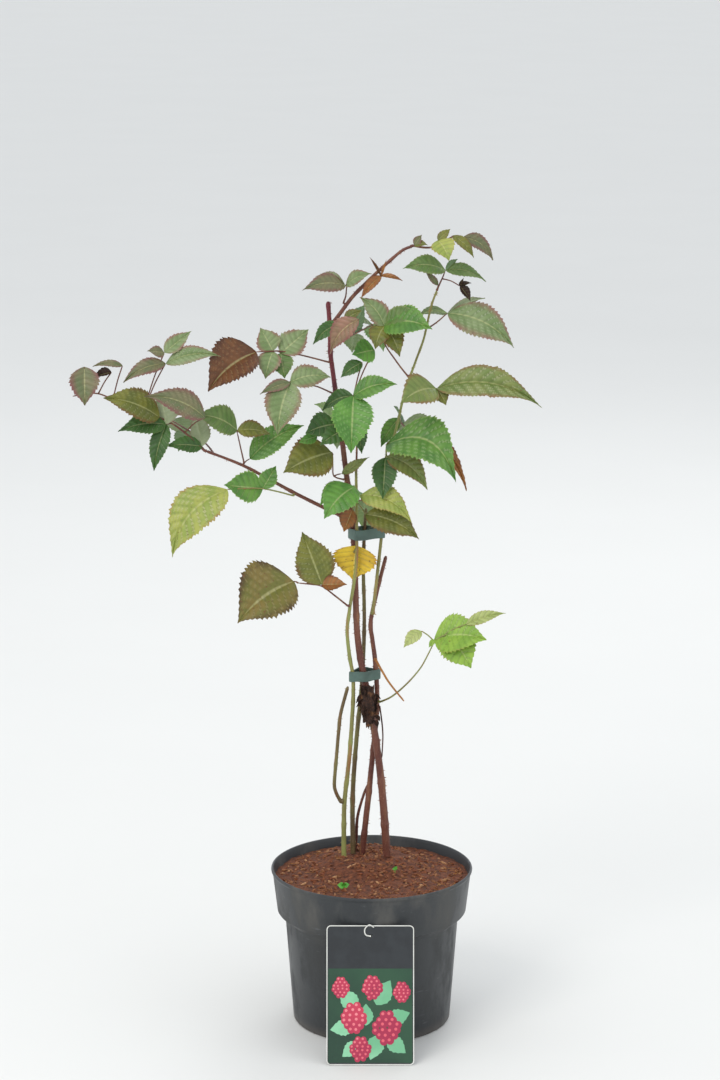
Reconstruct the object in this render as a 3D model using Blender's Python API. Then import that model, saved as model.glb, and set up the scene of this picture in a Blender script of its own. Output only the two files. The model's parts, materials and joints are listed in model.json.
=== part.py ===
# Potted tayberry: prickly fruiting canes tied in a bundle, in a round plastic pot with a card.
# The pot's underside is at the origin. X runs to the right, Y away from the front, Z up.
# All sizes below are in millimetres and become metres when a body is made.

import math
import random

import bmesh
import bpy
from mathutils import Vector
from mathutils.bvhtree import BVHTree

MM = 0.001
GAP = 0.3                   # clearance that neighbouring bodies keep
SEED = 11

# Pot: a plain round container with a broad band under its rim
POT_HEIGHT = 149.2
RIM_RADIUS = 95.0
BAND_HEIGHT = 41.5          # from the rim down to the band's lower edge
BAND_FOOT_RADIUS = 89.2
BODY_TOP_RADIUS = 81.8
BODY_TOP_HEIGHT = 101.5
BASE_RADIUS = 74.6
BASE_ROUND = 2.4            # rounding of the foot's edge
POT_WALL = 1.7
POT_FLOOR = 2.0
POT_STEPS = 40              # steps round the pot and its filling
DRAIN_HOLES = 6
DRAIN_RADIUS = 4.5
DRAIN_RING = 50.0           # distance of the drain holes from the axis

# Growing mix: fills the pot and is heaped round the canes
SOIL_EDGE_HEIGHT = 140.5
HEAP_HEIGHT = 150.0
HEAP_CENTRE = (-6.0, 30.0)
HEAP_FLAT_RADIUS = 29.0
HEAP_FOOT_RADIUS = 62.0
SOIL_RINGS = (14.0, 28.0, 42.0, 55.0, 68.0, 80.0)
SOIL_BUMP = 1.1

# Ties: flat bands round the bundle, as centre, half width, half depth
TIE_WALL = 1.2
TIE_HEIGHT = 9.6
TIE_STEPS = 28
TIES = {
    "lower_tie": {"centre": (-4.4, 18.4, 331.0), "half": (18.0, 14.2)},
    "upper_tie": {"centre": (-4.2, 12.2, 469.0), "half": (19.6, 13.0)},
}

# Card: stands on the floor and leans on the pot's band
CARD_WIDTH = 80.5
CARD_LENGTH = 127.5
CARD_THICKNESS = 0.8
CARD_CORNER = 4.0
CARD_TOP_HEIGHT = 122.6
CARD_OFFSET = -1.6          # sideways from the pot's axis
CARD_HOLE_RADIUS = 2.2
CARD_HOLE_DROP = 9.0        # from the card's top edge to the hole
LOOP_RADIUS = 0.6

# Withered old growth caught among the canes, as a lumpy body
KNOT = {"centre": (-2.6, 10.7, 303.5), "half": (7.0, 5.2, 19.5), "lump": 0.16}

# Limbs: thickness at foot and tip, then the places that each one passes through
CANE_STEP = 20.0            # spacing of the rings along a limb
LIMBS = {
    "main_cane": {"thick": (7.4, 4.0), "through": [
        (14.7, 26.1, 150.3), (9, 24, 226), (0, 20, 292), (-13, 14, 366), (-17, 12, 462),
        (-26, 12, 544), (-38, 7, 639), (-38.6, 7, 663), (-40.2, 9, 685.9)]},
    "top_branch": {"on": "main_cane", "thick": (3.8, 2.6), "through": [
        (-35, 4, 667), (-29, 3, 676), (-18, 2, 691), (5, -4, 715), (27, -9, 735), (34.9, -10, 738.8)]},
    "middle_cane": {"thick": (6.0, 3.4), "through": [
        (-9.1, 35, 150.3), (-4, 33, 198), (0, 33, 239), (5, 25, 300), (3, 21, 346),
        (-1, 18, 383), (5, 21, 412), (13.2, 24, 444.4)]},
    "right_shoot": {"on": "middle_cane", "thick": (3.2, 1.8), "through": [
        (1.0, 12.2, 392.0), (3, 12, 412), (8, 14, 457), (15, 11, 529), (24, 4, 577),
        (32, -2, 611), (47, -8, 655), (53, -10, 683), (58.5, -12, 699.5)]},
    "left_cane": {"thick": (4.6, 2.4), "through": [
        (-26.3, 26.1, 150.3), (-26, 26, 200), (-21, 21, 251), (-17.5, 13.4, 309), (-17.6, 13.5, 331),
        (-23, 7, 376), (-15, 2.4, 436), (-14, 3.4, 469), (-14.7, 7, 529.7)]},
    "left_fork": {"on": "left_cane", "thick": (3.4, 3.2), "through": [
        (-30, 25, 205.4), (-35, 22, 219), (-33, 19, 254), (-29, 16, 295), (-22.4, 14, 321)]},
    "back_cane": {"thick": (4.8, 3.0), "through": [
        (-17.7, 35, 150.3), (-18, 38, 207), (-14, 34, 268), (-9, 27.4, 324), (-7, 25, 383),
        (-8, 21, 441), (-5.5, 20, 490.8)]},
    "side_stem": {"thick": (3.4, 2.2), "through": [
        (-15.6, 42.6, 150.3), (-13, 41, 187), (-7, 39.5, 209), (-3.4, 37.6, 217.9)]},
    "left_bough": {"on": "main_cane", "thick": (3.8, 2.4), "through": [
        (-26.9, 11, 482.8), (-42, 8, 493), (-74, 0, 511), (-116, -8, 536), (-151.6, -14, 551.7)]},
    "withered_stalk": {"on": "middle_cane", "thick": (2.4, 1.6), "through": [
        (4.6, 14, 345.5), (10, 4.5, 338), (17, 2, 327), (30.1, 2, 310.2)]},
    "dark_twig": {"on": "middle_cane", "thick": (1.5, 1.2), "through": [
        (9, 20, 299), (10.4, 18, 275), (9.6, 17.4, 250.4)]},
}

# Leaf sprays. A stem leaves its limb, and each leaf's leaflets spread from one place, its hub.
# A leaflet is its length, heading (0 right, 90 up), lean away from the front, all as seen from
# the front and in degrees, then its breadth and its arch as shares of the length.
SPRAYS = {
    "tip_spray": {"on": "top_branch", "thick": (2.2, 1.2), "stem": [
        (36.6, -10.2, 739.0), (48, -12, 738), (59, -14, 740), (72, -14, 748), (81, -12, 747)],
        "leaves": [
            ((38, -12, 740), (13, 60, -22, 0.60, 0.00), (14, 9, -34, 0.50, 0.10)),
            ((59, -15, 745), (24, -59, -39, 0.85, 0.10), (16, 43, 19, 0.50, 0.00)),
            ((72, -14, 749), (28, -44, -16, 0.34, 0.10)),
            ((81, -12, 747), (38, -36, 18, 0.38, 0.14))]},
    "upper_left_spray": {"on": "top_branch", "thick": (1.6, 1.1), "stem": [
        (-26.5, 2, 686.0), (-24, 1, 692), (-23, -1, 703)],
        "leaves": [
            ((-24, -1, 702), (41, -178, -20, 0.44, 0.10), (32, 166, 28, 0.40, 0.10),
             (30, 31, -28, 0.46, 0.08))]},
    "bract_spray": {"on": "top_branch", "thick": (1.4, 1.1), "stem": [
        (7, -6.6, 713.4), (8, -9, 711)],
        "leaves": [
            ((8, -9, 712), (20, -8, -17, 0.24, 0.05), (28, -136, -25, 0.34, 0.05),
             (20, 117, -11, 0.14, 0.00), (16, 73, -14, 0.14, 0.00))]},
    "fork_spray": {"on": "main_cane", "thick": (1.6, 1.1), "stem": [
        (-33.6, 1.6, 663.0), (-24, -16, 672), (-13, -38, 676)],
        "leaves": [
            ((-12, -40, 677), (43, -130, 13, 0.46, 0.12)),
            ((-25, -14, 672), (19, 33, -18, 0.60, 0.05)),
            ((-28, -6, 668), (34, -149, -28, 0.42, 0.10))]},
    "right_fork_spray": {"on": "right_shoot", "thick": (1.6, 1.1), "stem": [
        (31.6, -4.2, 620.0), (21, -8, 635), (11, -14, 652), (11, -18, 668)],
        "leaves": [
            ((11, -18, 668), (34, 130, 10, 0.55, 0.10), (36, 24, -20, 0.50, 0.10),
             (50, 1, -34, 0.62, 0.12), (33, -60, -29, 0.60, 0.08), (26, -114, -39, 0.75, 0.10))]},
    "big_right_spray": {"on": "right_shoot", "thick": (1.6, 1.1), "stem": [
        (52.4, -8.6, 665.1), (60, -10, 671), (68, -14, 679)],
        "leaves": [
            ((68, -14, 679), (68, -27, -7, 0.46, 0.12), (41, 19, 29, 0.24, 0.05),
             (36, -168, 42, 0.34, 0.08))]},
    "right_tip_spray": {"on": "right_shoot", "thick": (1.7, 1.1), "stem": [
        (59.4, -12.3, 702.3), (63, -13, 710), (66, -14, 718)],
        "leaves": [
            ((66, -14, 718), (42, 173, -25, 0.44, 0.10), (44, -18, 24, 0.28, 0.10),
             (16, 41, 31, 0.60, 0.00)),
            ((59.6, -12.6, 704), (20, 130, -18, 0.30, 0.00)),
            ((79, -26, 705), (8, 71, -14, 0.40, 0.00), (11, 23, 10, 0.40, 0.00),
             (16, -51, -14, 0.50, 0.00))]},
    "long_right_spray": {"on": "right_shoot", "thick": (1.8, 1.3), "stem": [
        (31.0, -5, 603.8), (40, -20, 608), (58, -32, 613)],
        "leaves": [
            ((58, -32, 613), (97, -8, -12, 0.30, 0.14), (18, -58, -26, 0.80, 0.05),
             (40, -162, -33, 0.78, 0.12))]},
    "right_middle_spray": {"on": "right_shoot", "thick": (2.0, 1.3), "stem": [
        (14.7, 7, 533.7), (13, -4, 545), (13, -14, 557)],
        "leaves": [
            ((13, -14, 558), (75, -24, -25, 0.60, 0.30), (85, -26, -4, 0.24, 0.24)),
            ((14, -8, 546), (49, -38, -21, 0.45, 0.14)),
            ((12, -10, 545), (39, -93, -24, 0.55, 0.00))]},
    "left_trio_spray": {"on": "main_cane", "thick": (1.6, 1.1), "stem": [
        (-39.6, 4.4, 630.8), (-63, -8, 639), (-85, -14, 644), (-105, -18, 644)],
        "leaves": [
            ((-105, -18, 644), (56, -145, -17, 0.74, 0.08)),
            ((-90, -14, 644), (24, 117, 9, 0.90, 0.00), (27, -107, -27, 0.75, 0.05)),
            ((-83, -13, 642), (35, 38, 22, 0.70, 0.00), (24, -80, -27, 0.80, 0.00))]},
    "left_pair_spray": {"on": "main_cane", "thick": (1.6, 1.1), "stem": [
        (-35.8, 6, 601.7), (-49, -8, 610), (-74, -38, 620)],
        "leaves": [
            ((-74, -40, 620), (40, 3, 23, 0.55, 0.10), (30, -161, -20, 0.36, 0.05),
             (49, -104, -19, 0.64, 0.08))]},
    "centre_spray": {"on": "left_cane", "thick": (2.1, 1.3), "stem": [
        (-14.7, 7.2, 532.4), (-14, -6, 560), (-17, -24, 604)],
        "leaves": [
            ((-17, -26, 605), (53, -92, -25, 0.66, 0.06), (42, 19, -14, 0.48, 0.10),
             (35, -153, 20, 0.44, 0.10)),
            ((-33, -20, 578), (30, -167, -20, 0.85, 0.05)),
            ((-24, -26, 574), (29, -154, -25, 0.60, 0.05)),
            ((-50, -20, 567), (18, -160, -7, 0.60, 0.00)),
            ((-14, -14, 580), (32, -80, 4, 0.44, 0.00)),
            ((2, -12, 645), (22, -173, -22, 1.05, 0.00)),
            ((-9, -16, 634), (24, -147, -14, 0.55, 0.05))]},
    "olive_spray": {"on": "main_cane", "thick": (1.5, 1.1), "stem": [
        (-28.6, 7.6, 520.1), (-35, 2, 525), (-36, -4, 546)],
        "leaves": [
            ((-37, -5, 549), (50, -161, -22, 0.80, 0.05)),
            ((-28, 3, 527), (31, 35, -11, 0.30, 0.00))]},
    "bough_middle_spray": {"on": "left_bough", "thick": (1.6, 1.1), "stem": [
        (-117.2, -10, 539.5), (-120, -12, 554), (-123, -14, 569)],
        "leaves": [
            ((-123, -14, 571), (42, 155, -17, 0.62, 0.10), (32, -10, 14, 0.50, 0.08)),
            ((-112, -2, 542), (59, 31, 14, 0.42, 0.08))]},
    "hanging_spray": {"on": "left_bough", "thick": (1.6, 1.2), "stem": [
        (-72.7, -3.6, 506.0), (-100, -16, 517), (-132, -24, 518)],
        "leaves": [
            ((-132, -24, 518), (80, -130, -9, 0.48, 0.16)),
            ((-100, -16, 517), (36, 172, -12, 0.80, 0.00), (25, 57, 23, 0.65, 0.00))]},
    "bough_tip_spray": {"on": "left_bough", "thick": (2.2, 1.2), "stem": [
        (-153.6, -14.4, 552.7), (-182, -18, 578), (-220, -24, 594), (-248, -26, 607), (-271, -28, 605)],
        "leaves": [
            ((-193, -24, 585), (56, 157, -19, 0.52, 0.08)),
            ((-187, -22, 578), (45, -175, -18, 0.44, 0.08), (44, -105, -10, 0.38, 0.05),
             (31, 100, 27, 0.80, 0.00)),
            ((-151, -36, 587), (59, 156, -12, 0.42, 0.10)),
            ((-155, -15, 556), (35, 175, -22, 0.44, 0.05), (37, 101, 30, 0.50, 0.00)),
            ((-260, -28, 632), (35, -88, -13, 0.72, 0.05)),
            ((-236, -22, 626), (18, -170, -6, 0.45, 0.00)),
            ((-226, -22, 632), (27, 180, -13, 0.26, 0.10)),
            ((-187, -22, 634), (42, -159, -14, 0.36, 0.10), (52, 10, -11, 0.32, 0.10)),
            ((-188, -22, 644), (32, 38, 15, 0.46, 0.00), (19, 164, -40, 0.60, 0.00))]},
    "low_centre_spray": {"on": "left_cane", "thick": (2.0, 1.3), "stem": [
        (-13.8, 3, 499.7), (-13, -9, 510)],
        "leaves": [
            ((-16, -11, 518), (43, -137, -32, 0.72, 0.10)),
            ((-11, -12, 510), (55, -23, -19, 0.42, 0.16)),
            ((-6, -12, 492), (54, -23, -11, 0.50, 0.10)),
            ((-18, -6, 495), (22, -113, -11, 0.70, 0.00)),
            ((-24, -4, 519), (31, -141, -11, 0.50, 0.10))]},
    "lower_left_spray": {"on": "left_cane", "thick": (1.8, 1.2), "stem": [
        (-23.1, 1, 402.1), (-34, -4, 413), (-46, -8, 423), (-68, -15, 428)],
        "leaves": [
            ((-72, -16, 430), (64, -147, -18, 0.86, 0.08)),
            ((-46, -9, 425), (52, 111, 8, 0.68, 0.00), (23, 6, -13, 0.60, 0.00))]},
    "yellow_leaf": {"on": "main_cane", "thick": (1.5, 1.2), "stem": [
        (-16.6, 8.4, 451.9), (-14, 8, 458)],
        "leaves": [((-14, 8, 458), (33, -98, 0, 1.15, 0.00))]},
    "lower_right_spray": {"on": "middle_cane", "thick": (1.8, 1.2), "stem": [
        (8.9, 21, 304), (17, 15, 310), (31, 7, 324), (46, 0, 344), (58, -6, 370)],
        "leaves": [
            ((58, -6, 372), (50, 4, -19, 0.74, 0.10), (10, -133, -36, 0.50, 0.00)),
            ((70, -10, 378), (39, -51, -25, 0.85, 0.05)),
            ((87, -12, 388), (39, 14, 9, 0.28, 0.05)),
            ((46, -2, 379), (23, -140, -20, 0.50, 0.08))]},
    "back_upper_spray": {"on": "main_cane", "thick": (1.8, 1.2), "stem": [
        (-36.0, 9, 648.4), (-20, 34, 650), (0, 62, 656)],
        "leaves": [
            ((-17, 42, 652), (31, -95, 46, 0.60, 0.05), (31, 68, 36, 0.60, 0.05)),
            ((1, 64, 656), (34, 5, 36, 0.60, 0.10), (38, -72, 39, 0.60, 0.10),
             (34, -172, 55, 0.60, 0.10))]},
    "back_right_spray": {"on": "right_shoot", "thick": (1.8, 1.2), "stem": [
        (24.4, 6, 579.9), (28, 36, 567), (38, 66, 554)],
        "leaves": [
            ((29, 40, 566), (33, -5, 33, 0.60, 0.10), (28, 115, 58, 0.60, 0.05)),
            ((25, 14, 577), (33, -122, 7, 0.42, 0.05)),
            ((39, 68, 554), (36, -21, 30, 0.60, 0.10), (38, -95, 39, 0.60, 0.10),
             (37, -171, 50, 0.60, 0.10))]},
    "back_centre_spray": {"on": "main_cane", "thick": (1.8, 1.2), "stem": [
        (-28.0, 15, 563.6), (-30, 36, 562), (-33, 68, 561)],
        "leaves": [
            ((-31, 40, 563), (31, -168, 38, 0.60, 0.10), (33, -60, 36, 0.60, 0.05)),
            ((-34, 69, 562), (31, 143, 39, 0.60, 0.10), (35, 41, 47, 0.60, 0.10),
             (42, -86, 44, 0.60, 0.10))]},
    "back_left_spray": {"on": "left_bough", "thick": (1.8, 1.2), "stem": [
        (-145.5, -10, 549.6), (-159, 18, 558), (-188, 58, 567)],
        "leaves": [
            ((-167, 30, 560), (32, 67, 49, 0.60, 0.10), (32, -124, 38, 0.60, 0.10)),
            ((-188, 58, 567), (44, -176, 22, 0.60, 0.10), (36, 120, 46, 0.60, 0.10),
             (42, -61, 50, 0.60, 0.10))]},
    "back_low_spray": {"on": "main_cane", "thick": (1.8, 1.2), "stem": [
        (-20.3, 15.4, 491.7), (-17, 34, 493), (-9, 52, 492)],
        "leaves": [
            ((-16, 38, 492), (34, -117, 36, 0.60, 0.05)),
            ((-8, 54, 491), (37, -32, 29, 0.60, 0.10), (44, -86, 33, 0.60, 0.10),
             (27, 141, 61, 0.60, 0.10))]},
}
TWIG_STEP = 14.0
SEAT_LENGTH = 1.5           # how far a stem runs square to its limb
HUB_RADIUS = 1.4            # small swelling where leaflets meet
LEAF_STATIONS = ((0.0, 0.06), (0.14, 0.62), (0.38, 1.0), (0.70, 0.70), (1.0, 0.03))
LEAF_THICKNESS = 0.024      # at the midrib, as a share of the leaflet's length
LEAF_FACE_TILT = math.radians(35)  # how far blades face upwards
BACK_FACING_LEAN = 25       # leaflets that lean away more than this face the back

COLOURS = {
    "pot": ((0.045, 0.050, 0.055), 0.5),
    "soil": ((0.16, 0.055, 0.024), 0.95),
    "cane": ((0.18, 0.065, 0.040), 0.6),
    "green_cane": ((0.26, 0.28, 0.09), 0.6),
    "leaf": ((0.10, 0.20, 0.05), 0.6),
    "pale_leaf": ((0.30, 0.38, 0.08), 0.6),
    "yellow_leaf": ((0.70, 0.50, 0.05), 0.6),
    "withered": ((0.05, 0.03, 0.02), 0.9),
    "tie": ((0.11, 0.20, 0.18), 0.5),
    "card": ((0.06, 0.07, 0.08), 0.35),
    "loop": ((0.85, 0.85, 0.83), 0.5),
}
GREEN_CANES = ("right_shoot", "left_cane", "left_fork", "back_cane", "left_bough")
PALE_SPRAYS = ("hanging_spray", "lower_right_spray", "long_right_spray")


def clear_scene():
    for obj in list(bpy.data.objects):
        bpy.data.objects.remove(obj, do_unlink=True)


def material(kind):
    made = bpy.data.materials.get(kind)
    if made is None:
        made = bpy.data.materials.new(kind)
        made.use_nodes = True
        colour, roughness = COLOURS[kind]
        shader = made.node_tree.nodes["Principled BSDF"]
        shader.inputs["Base Color"].default_value = (*colour, 1.0)
        shader.inputs["Roughness"].default_value = roughness
    return made


def body(name, shape, kind, smooth=True):
    """Turns a shape in millimetres into an object in metres."""
    bmesh.ops.scale(shape, vec=(MM, MM, MM), verts=shape.verts)
    bmesh.ops.recalc_face_normals(shape, faces=shape.faces)
    mesh = bpy.data.meshes.new(name)
    shape.to_mesh(mesh)
    shape.free()
    mesh.materials.append(material(kind))
    if smooth:
        mesh.shade_smooth()
        mesh.set_sharp_from_angle(angle=math.radians(40))
    made = bpy.data.objects.new(name, mesh)
    bpy.context.scene.collection.objects.link(made)
    return made


def turned(profile, steps):
    """A closed body turned about Z from (radius, height) pairs that start and end on the axis."""
    shape = bmesh.new()
    rings = []
    for radius, height in profile:
        if radius == 0:
            rings.append([shape.verts.new((0, 0, height))])
            continue
        turns = [2 * math.pi * i / steps for i in range(steps)]
        rings.append([shape.verts.new((radius * math.cos(a), radius * math.sin(a), height))
                      for a in turns])
    for low, high in zip(rings, rings[1:]):
        for i in range(steps):
            j = (i + 1) % steps
            corners = [low[i % len(low)], low[j % len(low)],
                       high[j % len(high)], high[i % len(high)]]
            shape.faces.new(list(dict.fromkeys(corners)))
    return shape


def smooth_path(places, step):
    """A Catmull-Rom curve through the places, with a point about every step."""
    knots = [Vector(p) for p in places]
    padded = [2 * knots[0] - knots[1]] + knots + [2 * knots[-1] - knots[-2]]
    path = [knots[0]]
    for a, b, c, d in zip(padded, padded[1:], padded[2:], padded[3:]):
        pieces = max(1, round((c - b).length / step))
        for i in range(1, pieces + 1):
            t = i / pieces
            path.append(0.5 * (2 * b + (c - a) * t + (2 * a - 5 * b + 4 * c - d) * t * t
                               + (3 * b - a - 3 * c + d) * t ** 3))
    return path


def nearest_on(limb, place):
    """The nearest point of a limb's axis to the place, and the limb's radius there."""
    path, thick = limb
    best = None
    for i, (a, b) in enumerate(zip(path, path[1:])):
        share = max(0.0, min(1.0, (place - a).dot(b - a) / (b - a).length_squared))
        spot = a + share * (b - a)
        if best is None or (place - spot).length < (place - best[0]).length:
            best = (spot, (i + share) / (len(path) - 1))
    spot, along = best
    return spot, 0.5 * (thick[0] + (thick[1] - thick[0]) * along)


def seated(places, limb):
    """Moves a stem's foot to a hair's breadth from its limb's skin, and starts it square to the limb."""
    first = Vector(places[0])
    spot, radius = nearest_on(limb, first)
    outward = (first - spot).normalized()
    tip, before = limb[0][-1], limb[0][-2]
    if (spot - tip).length < GAP:  # a stem that carries a limb's tip on
        outward, radius = (tip - before).normalized(), 0.0
    foot = spot + (radius + GAP) * outward
    return [foot, foot + SEAT_LENGTH * outward] + list(places[1:])


def tube(shape, path, thick, sides, flat_foot=False):
    """A closed tapering tube along the path, added to the shape."""
    lengths = [0.0]
    for a, b in zip(path, path[1:]):
        lengths.append(lengths[-1] + (b - a).length)
    rings = []
    across = Vector((1, 0.2, 0.1))
    for i, place in enumerate(path):
        along = (path[min(i + 1, len(path) - 1)] - path[max(i - 1, 0)]).normalized()
        if flat_foot and i == 0:
            along = Vector((0, 0, 1))
        across = (across - across.dot(along) * along).normalized()
        other = along.cross(across)
        share = lengths[i] / lengths[-1]
        radius = 0.5 * (thick[0] + (thick[1] - thick[0]) * share)
        turns = [2 * math.pi * k / sides for k in range(sides)]
        rings.append([shape.verts.new(place + radius * (math.cos(a) * across + math.sin(a) * other))
                      for a in turns])
    for low, high in zip(rings, rings[1:]):
        for k in range(sides):
            m = (k + 1) % sides
            shape.faces.new((low[k], low[m], high[m], high[k]))
    shape.faces.new(reversed(rings[0]))
    shape.faces.new(rings[-1])


def make_pot():
    wall = POT_WALL
    band_foot = POT_HEIGHT - BAND_HEIGHT
    profile = [
        (0, 0), (BASE_RADIUS - BASE_ROUND, 0), (BASE_RADIUS - 0.5, 0.8), (BASE_RADIUS, BASE_ROUND),
        (BODY_TOP_RADIUS, BODY_TOP_HEIGHT), (BAND_FOOT_RADIUS, band_foot),
        (RIM_RADIUS - 1.0, POT_HEIGHT - 3.0), (RIM_RADIUS, POT_HEIGHT - 2.0),
        (RIM_RADIUS, POT_HEIGHT - 0.6), (RIM_RADIUS - 0.6, POT_HEIGHT),
        (RIM_RADIUS - 1.0 - wall, POT_HEIGHT), (RIM_RADIUS - 1.4 - wall, POT_HEIGHT - 3.0),
        (BAND_FOOT_RADIUS - wall, band_foot + 1.0), (BODY_TOP_RADIUS - wall, BODY_TOP_HEIGHT + 1.0),
        (BASE_RADIUS - wall, POT_FLOOR), (0, POT_FLOOR),
    ]
    pot = body("pot", turned(profile, POT_STEPS), "pot")
    drill = bmesh.new()
    for i in range(DRAIN_HOLES):
        turn = 2 * math.pi * i / DRAIN_HOLES
        centre = (DRAIN_RING * math.cos(turn), DRAIN_RING * math.sin(turn))
        hole = [Vector((*centre, z)) for z in (-2.0, POT_FLOOR + 2.0)]
        tube(drill, hole, (2 * DRAIN_RADIUS, 2 * DRAIN_RADIUS), 10)
    cutter = body("drain_cutter", drill, "pot", smooth=False)
    cutter.hide_render = True
    cutter.display_type = "WIRE"
    cut = pot.modifiers.new("drain_holes", "BOOLEAN")
    cut.operation = "DIFFERENCE"
    cut.object = cutter
    return pot


def soil_height(x, y):
    """The surface: a heap with a flat top round the canes, falling to the pot's wall."""
    reach = math.hypot(x - HEAP_CENTRE[0], y - HEAP_CENTRE[1])
    share = min(1.0, max(0.0, (HEAP_FOOT_RADIUS - reach) / (HEAP_FOOT_RADIUS - HEAP_FLAT_RADIUS)))
    share = share * share * (3 - 2 * share)
    return SOIL_EDGE_HEIGHT + (HEAP_HEIGHT - SOIL_EDGE_HEIGHT) * share, share


def make_soil():
    chance = random.Random(SEED)
    clear = POT_WALL + GAP + 0.1
    band_foot = POT_HEIGHT - BAND_HEIGHT
    slope = (RIM_RADIUS - BAND_FOOT_RADIUS) / BAND_HEIGHT
    edge = BAND_FOOT_RADIUS + slope * (SOIL_EDGE_HEIGHT - band_foot) - clear - 1.0
    profile = [(0, POT_FLOOR + GAP), (BASE_RADIUS - clear - 0.2, POT_FLOOR + GAP),
               (BODY_TOP_RADIUS - clear, BODY_TOP_HEIGHT + 1.4),
               (BAND_FOOT_RADIUS - clear - 0.2, band_foot + 1.8), (edge, SOIL_EDGE_HEIGHT)]
    profile += [(radius, SOIL_EDGE_HEIGHT) for radius in reversed(SOIL_RINGS)]
    profile.append((0, SOIL_EDGE_HEIGHT))
    shape = turned(profile, POT_STEPS)
    for vert in shape.verts:
        if vert.co.z > SOIL_EDGE_HEIGHT - 0.01 and vert.co.xy.length < edge - 1:
            height, share = soil_height(vert.co.x, vert.co.y)
            vert.co.z = height + (1 - share) * chance.uniform(-SOIL_BUMP, SOIL_BUMP)
    return body("soil", shape, "soil")


def make_tie(name, spec):
    """A flat band as an oval ring with a square cut section."""
    shape = bmesh.new()
    centre, half = Vector(spec["centre"]), spec["half"]
    rings = []
    for i in range(TIE_STEPS):
        turn = 2 * math.pi * i / TIE_STEPS
        ring = []
        for grow, z in ((0, -0.5), (TIE_WALL, -0.5), (TIE_WALL, 0.5), (0, 0.5)):
            across = (half[0] + grow) * math.cos(turn)
            deep = (half[1] + grow) * math.sin(turn)
            ring.append(shape.verts.new(centre + Vector((across, deep, z * TIE_HEIGHT))))
        rings.append(ring)
    for i, ring in enumerate(rings):
        after = rings[(i + 1) % TIE_STEPS]
        for k in range(4):
            m = (k + 1) % 4
            shape.faces.new((ring[k], ring[m], after[m], after[k]))
    return body(name, shape, "tie")


def card_place(across, up, out):
    """A point on the leaning card: across it, up from its foot, and out from its front face."""
    band_foot = POT_HEIGHT - BAND_HEIGHT
    slope = (RIM_RADIUS - BAND_FOOT_RADIUS) / BAND_HEIGHT
    seat = BAND_FOOT_RADIUS + slope * (CARD_TOP_HEIGHT - band_foot) + GAP + CARD_THICKNESS
    lean = math.acos(CARD_TOP_HEIGHT / CARD_LENGTH)
    rise, step = math.cos(lean), math.sin(lean)
    foot = -(seat + CARD_LENGTH * step)
    lift = CARD_THICKNESS * step + GAP
    return Vector((CARD_OFFSET + across, foot + up * step - out * rise, lift + up * rise + out * step))


def make_card():
    shape = bmesh.new()
    half, top, corner = CARD_WIDTH / 2, CARD_LENGTH, CARD_CORNER
    outline = [(-half, 0), (half, 0)]
    for cx, start in ((half - corner, 0), (-half + corner, 90)):
        for k in range(4):
            turn = math.radians(start + 30 * k)
            outline.append((cx + corner * math.cos(turn), top - corner + corner * math.sin(turn)))
    front = [shape.verts.new(card_place(x, y, 0)) for x, y in outline]
    back = [shape.verts.new(card_place(x, y, -CARD_THICKNESS)) for x, y in outline]
    shape.faces.new(front)
    shape.faces.new(reversed(back))
    for i in range(len(outline)):
        j = (i + 1) % len(outline)
        shape.faces.new((front[j], front[i], back[i], back[j]))
    card = body("card", shape, "card", smooth=False)
    drill = bmesh.new()
    middle = CARD_LENGTH - CARD_HOLE_DROP
    tube(drill, [card_place(0, middle, -3), card_place(0, middle, 3)], (2 * CARD_HOLE_RADIUS,) * 2, 12)
    cutter = body("card_cutter", drill, "card", smooth=False)
    cutter.hide_render = True
    cutter.display_type = "WIRE"
    cut = card.modifiers.new("hole", "BOOLEAN")
    cut.operation = "DIFFERENCE"
    cut.object = cutter
    top_out = LOOP_RADIUS + GAP
    bends = [card_place(0.6, middle - 1.0, top_out), card_place(-4.2, middle + 0.4, top_out + 0.3),
             card_place(-5.0, middle + 5.6, top_out + 0.5), card_place(-0.8, middle + 9.4, top_out + 0.2),
             card_place(3.4, middle + 7.0, top_out)]
    loop = bmesh.new()
    tube(loop, smooth_path(bends, 2.0), (2 * LOOP_RADIUS,) * 2, 6)
    body("card_loop", loop, "loop")


def make_knot():
    chance = random.Random(SEED + 1)
    shape = bmesh.new()
    bmesh.ops.create_icosphere(shape, subdivisions=3, radius=1.0)
    for vert in shape.verts:
        grow = 1 - chance.uniform(0, KNOT["lump"])
        vert.co = Vector(KNOT["centre"]) + grow * vert.co * Vector(KNOT["half"])
    return body("withered_knot", shape, "withered")


def make_limb(name, spec, grown):
    """One tapering limb, cut flat at the soil or seated on the limb that bears it."""
    places = spec["through"]
    if "on" in spec:
        places = seated(places, grown[spec["on"]])
    path = smooth_path(places, CANE_STEP)
    grown[name] = (path, spec["thick"])
    shape = bmesh.new()
    tube(shape, path, spec["thick"], 8 if spec["thick"][0] > 4 else 6, flat_foot="on" not in spec)
    kind = "withered" if name in ("withered_stalk", "dark_twig") else "cane"
    return body(name, shape, "green_cane" if name in GREEN_CANES else kind)


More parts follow.
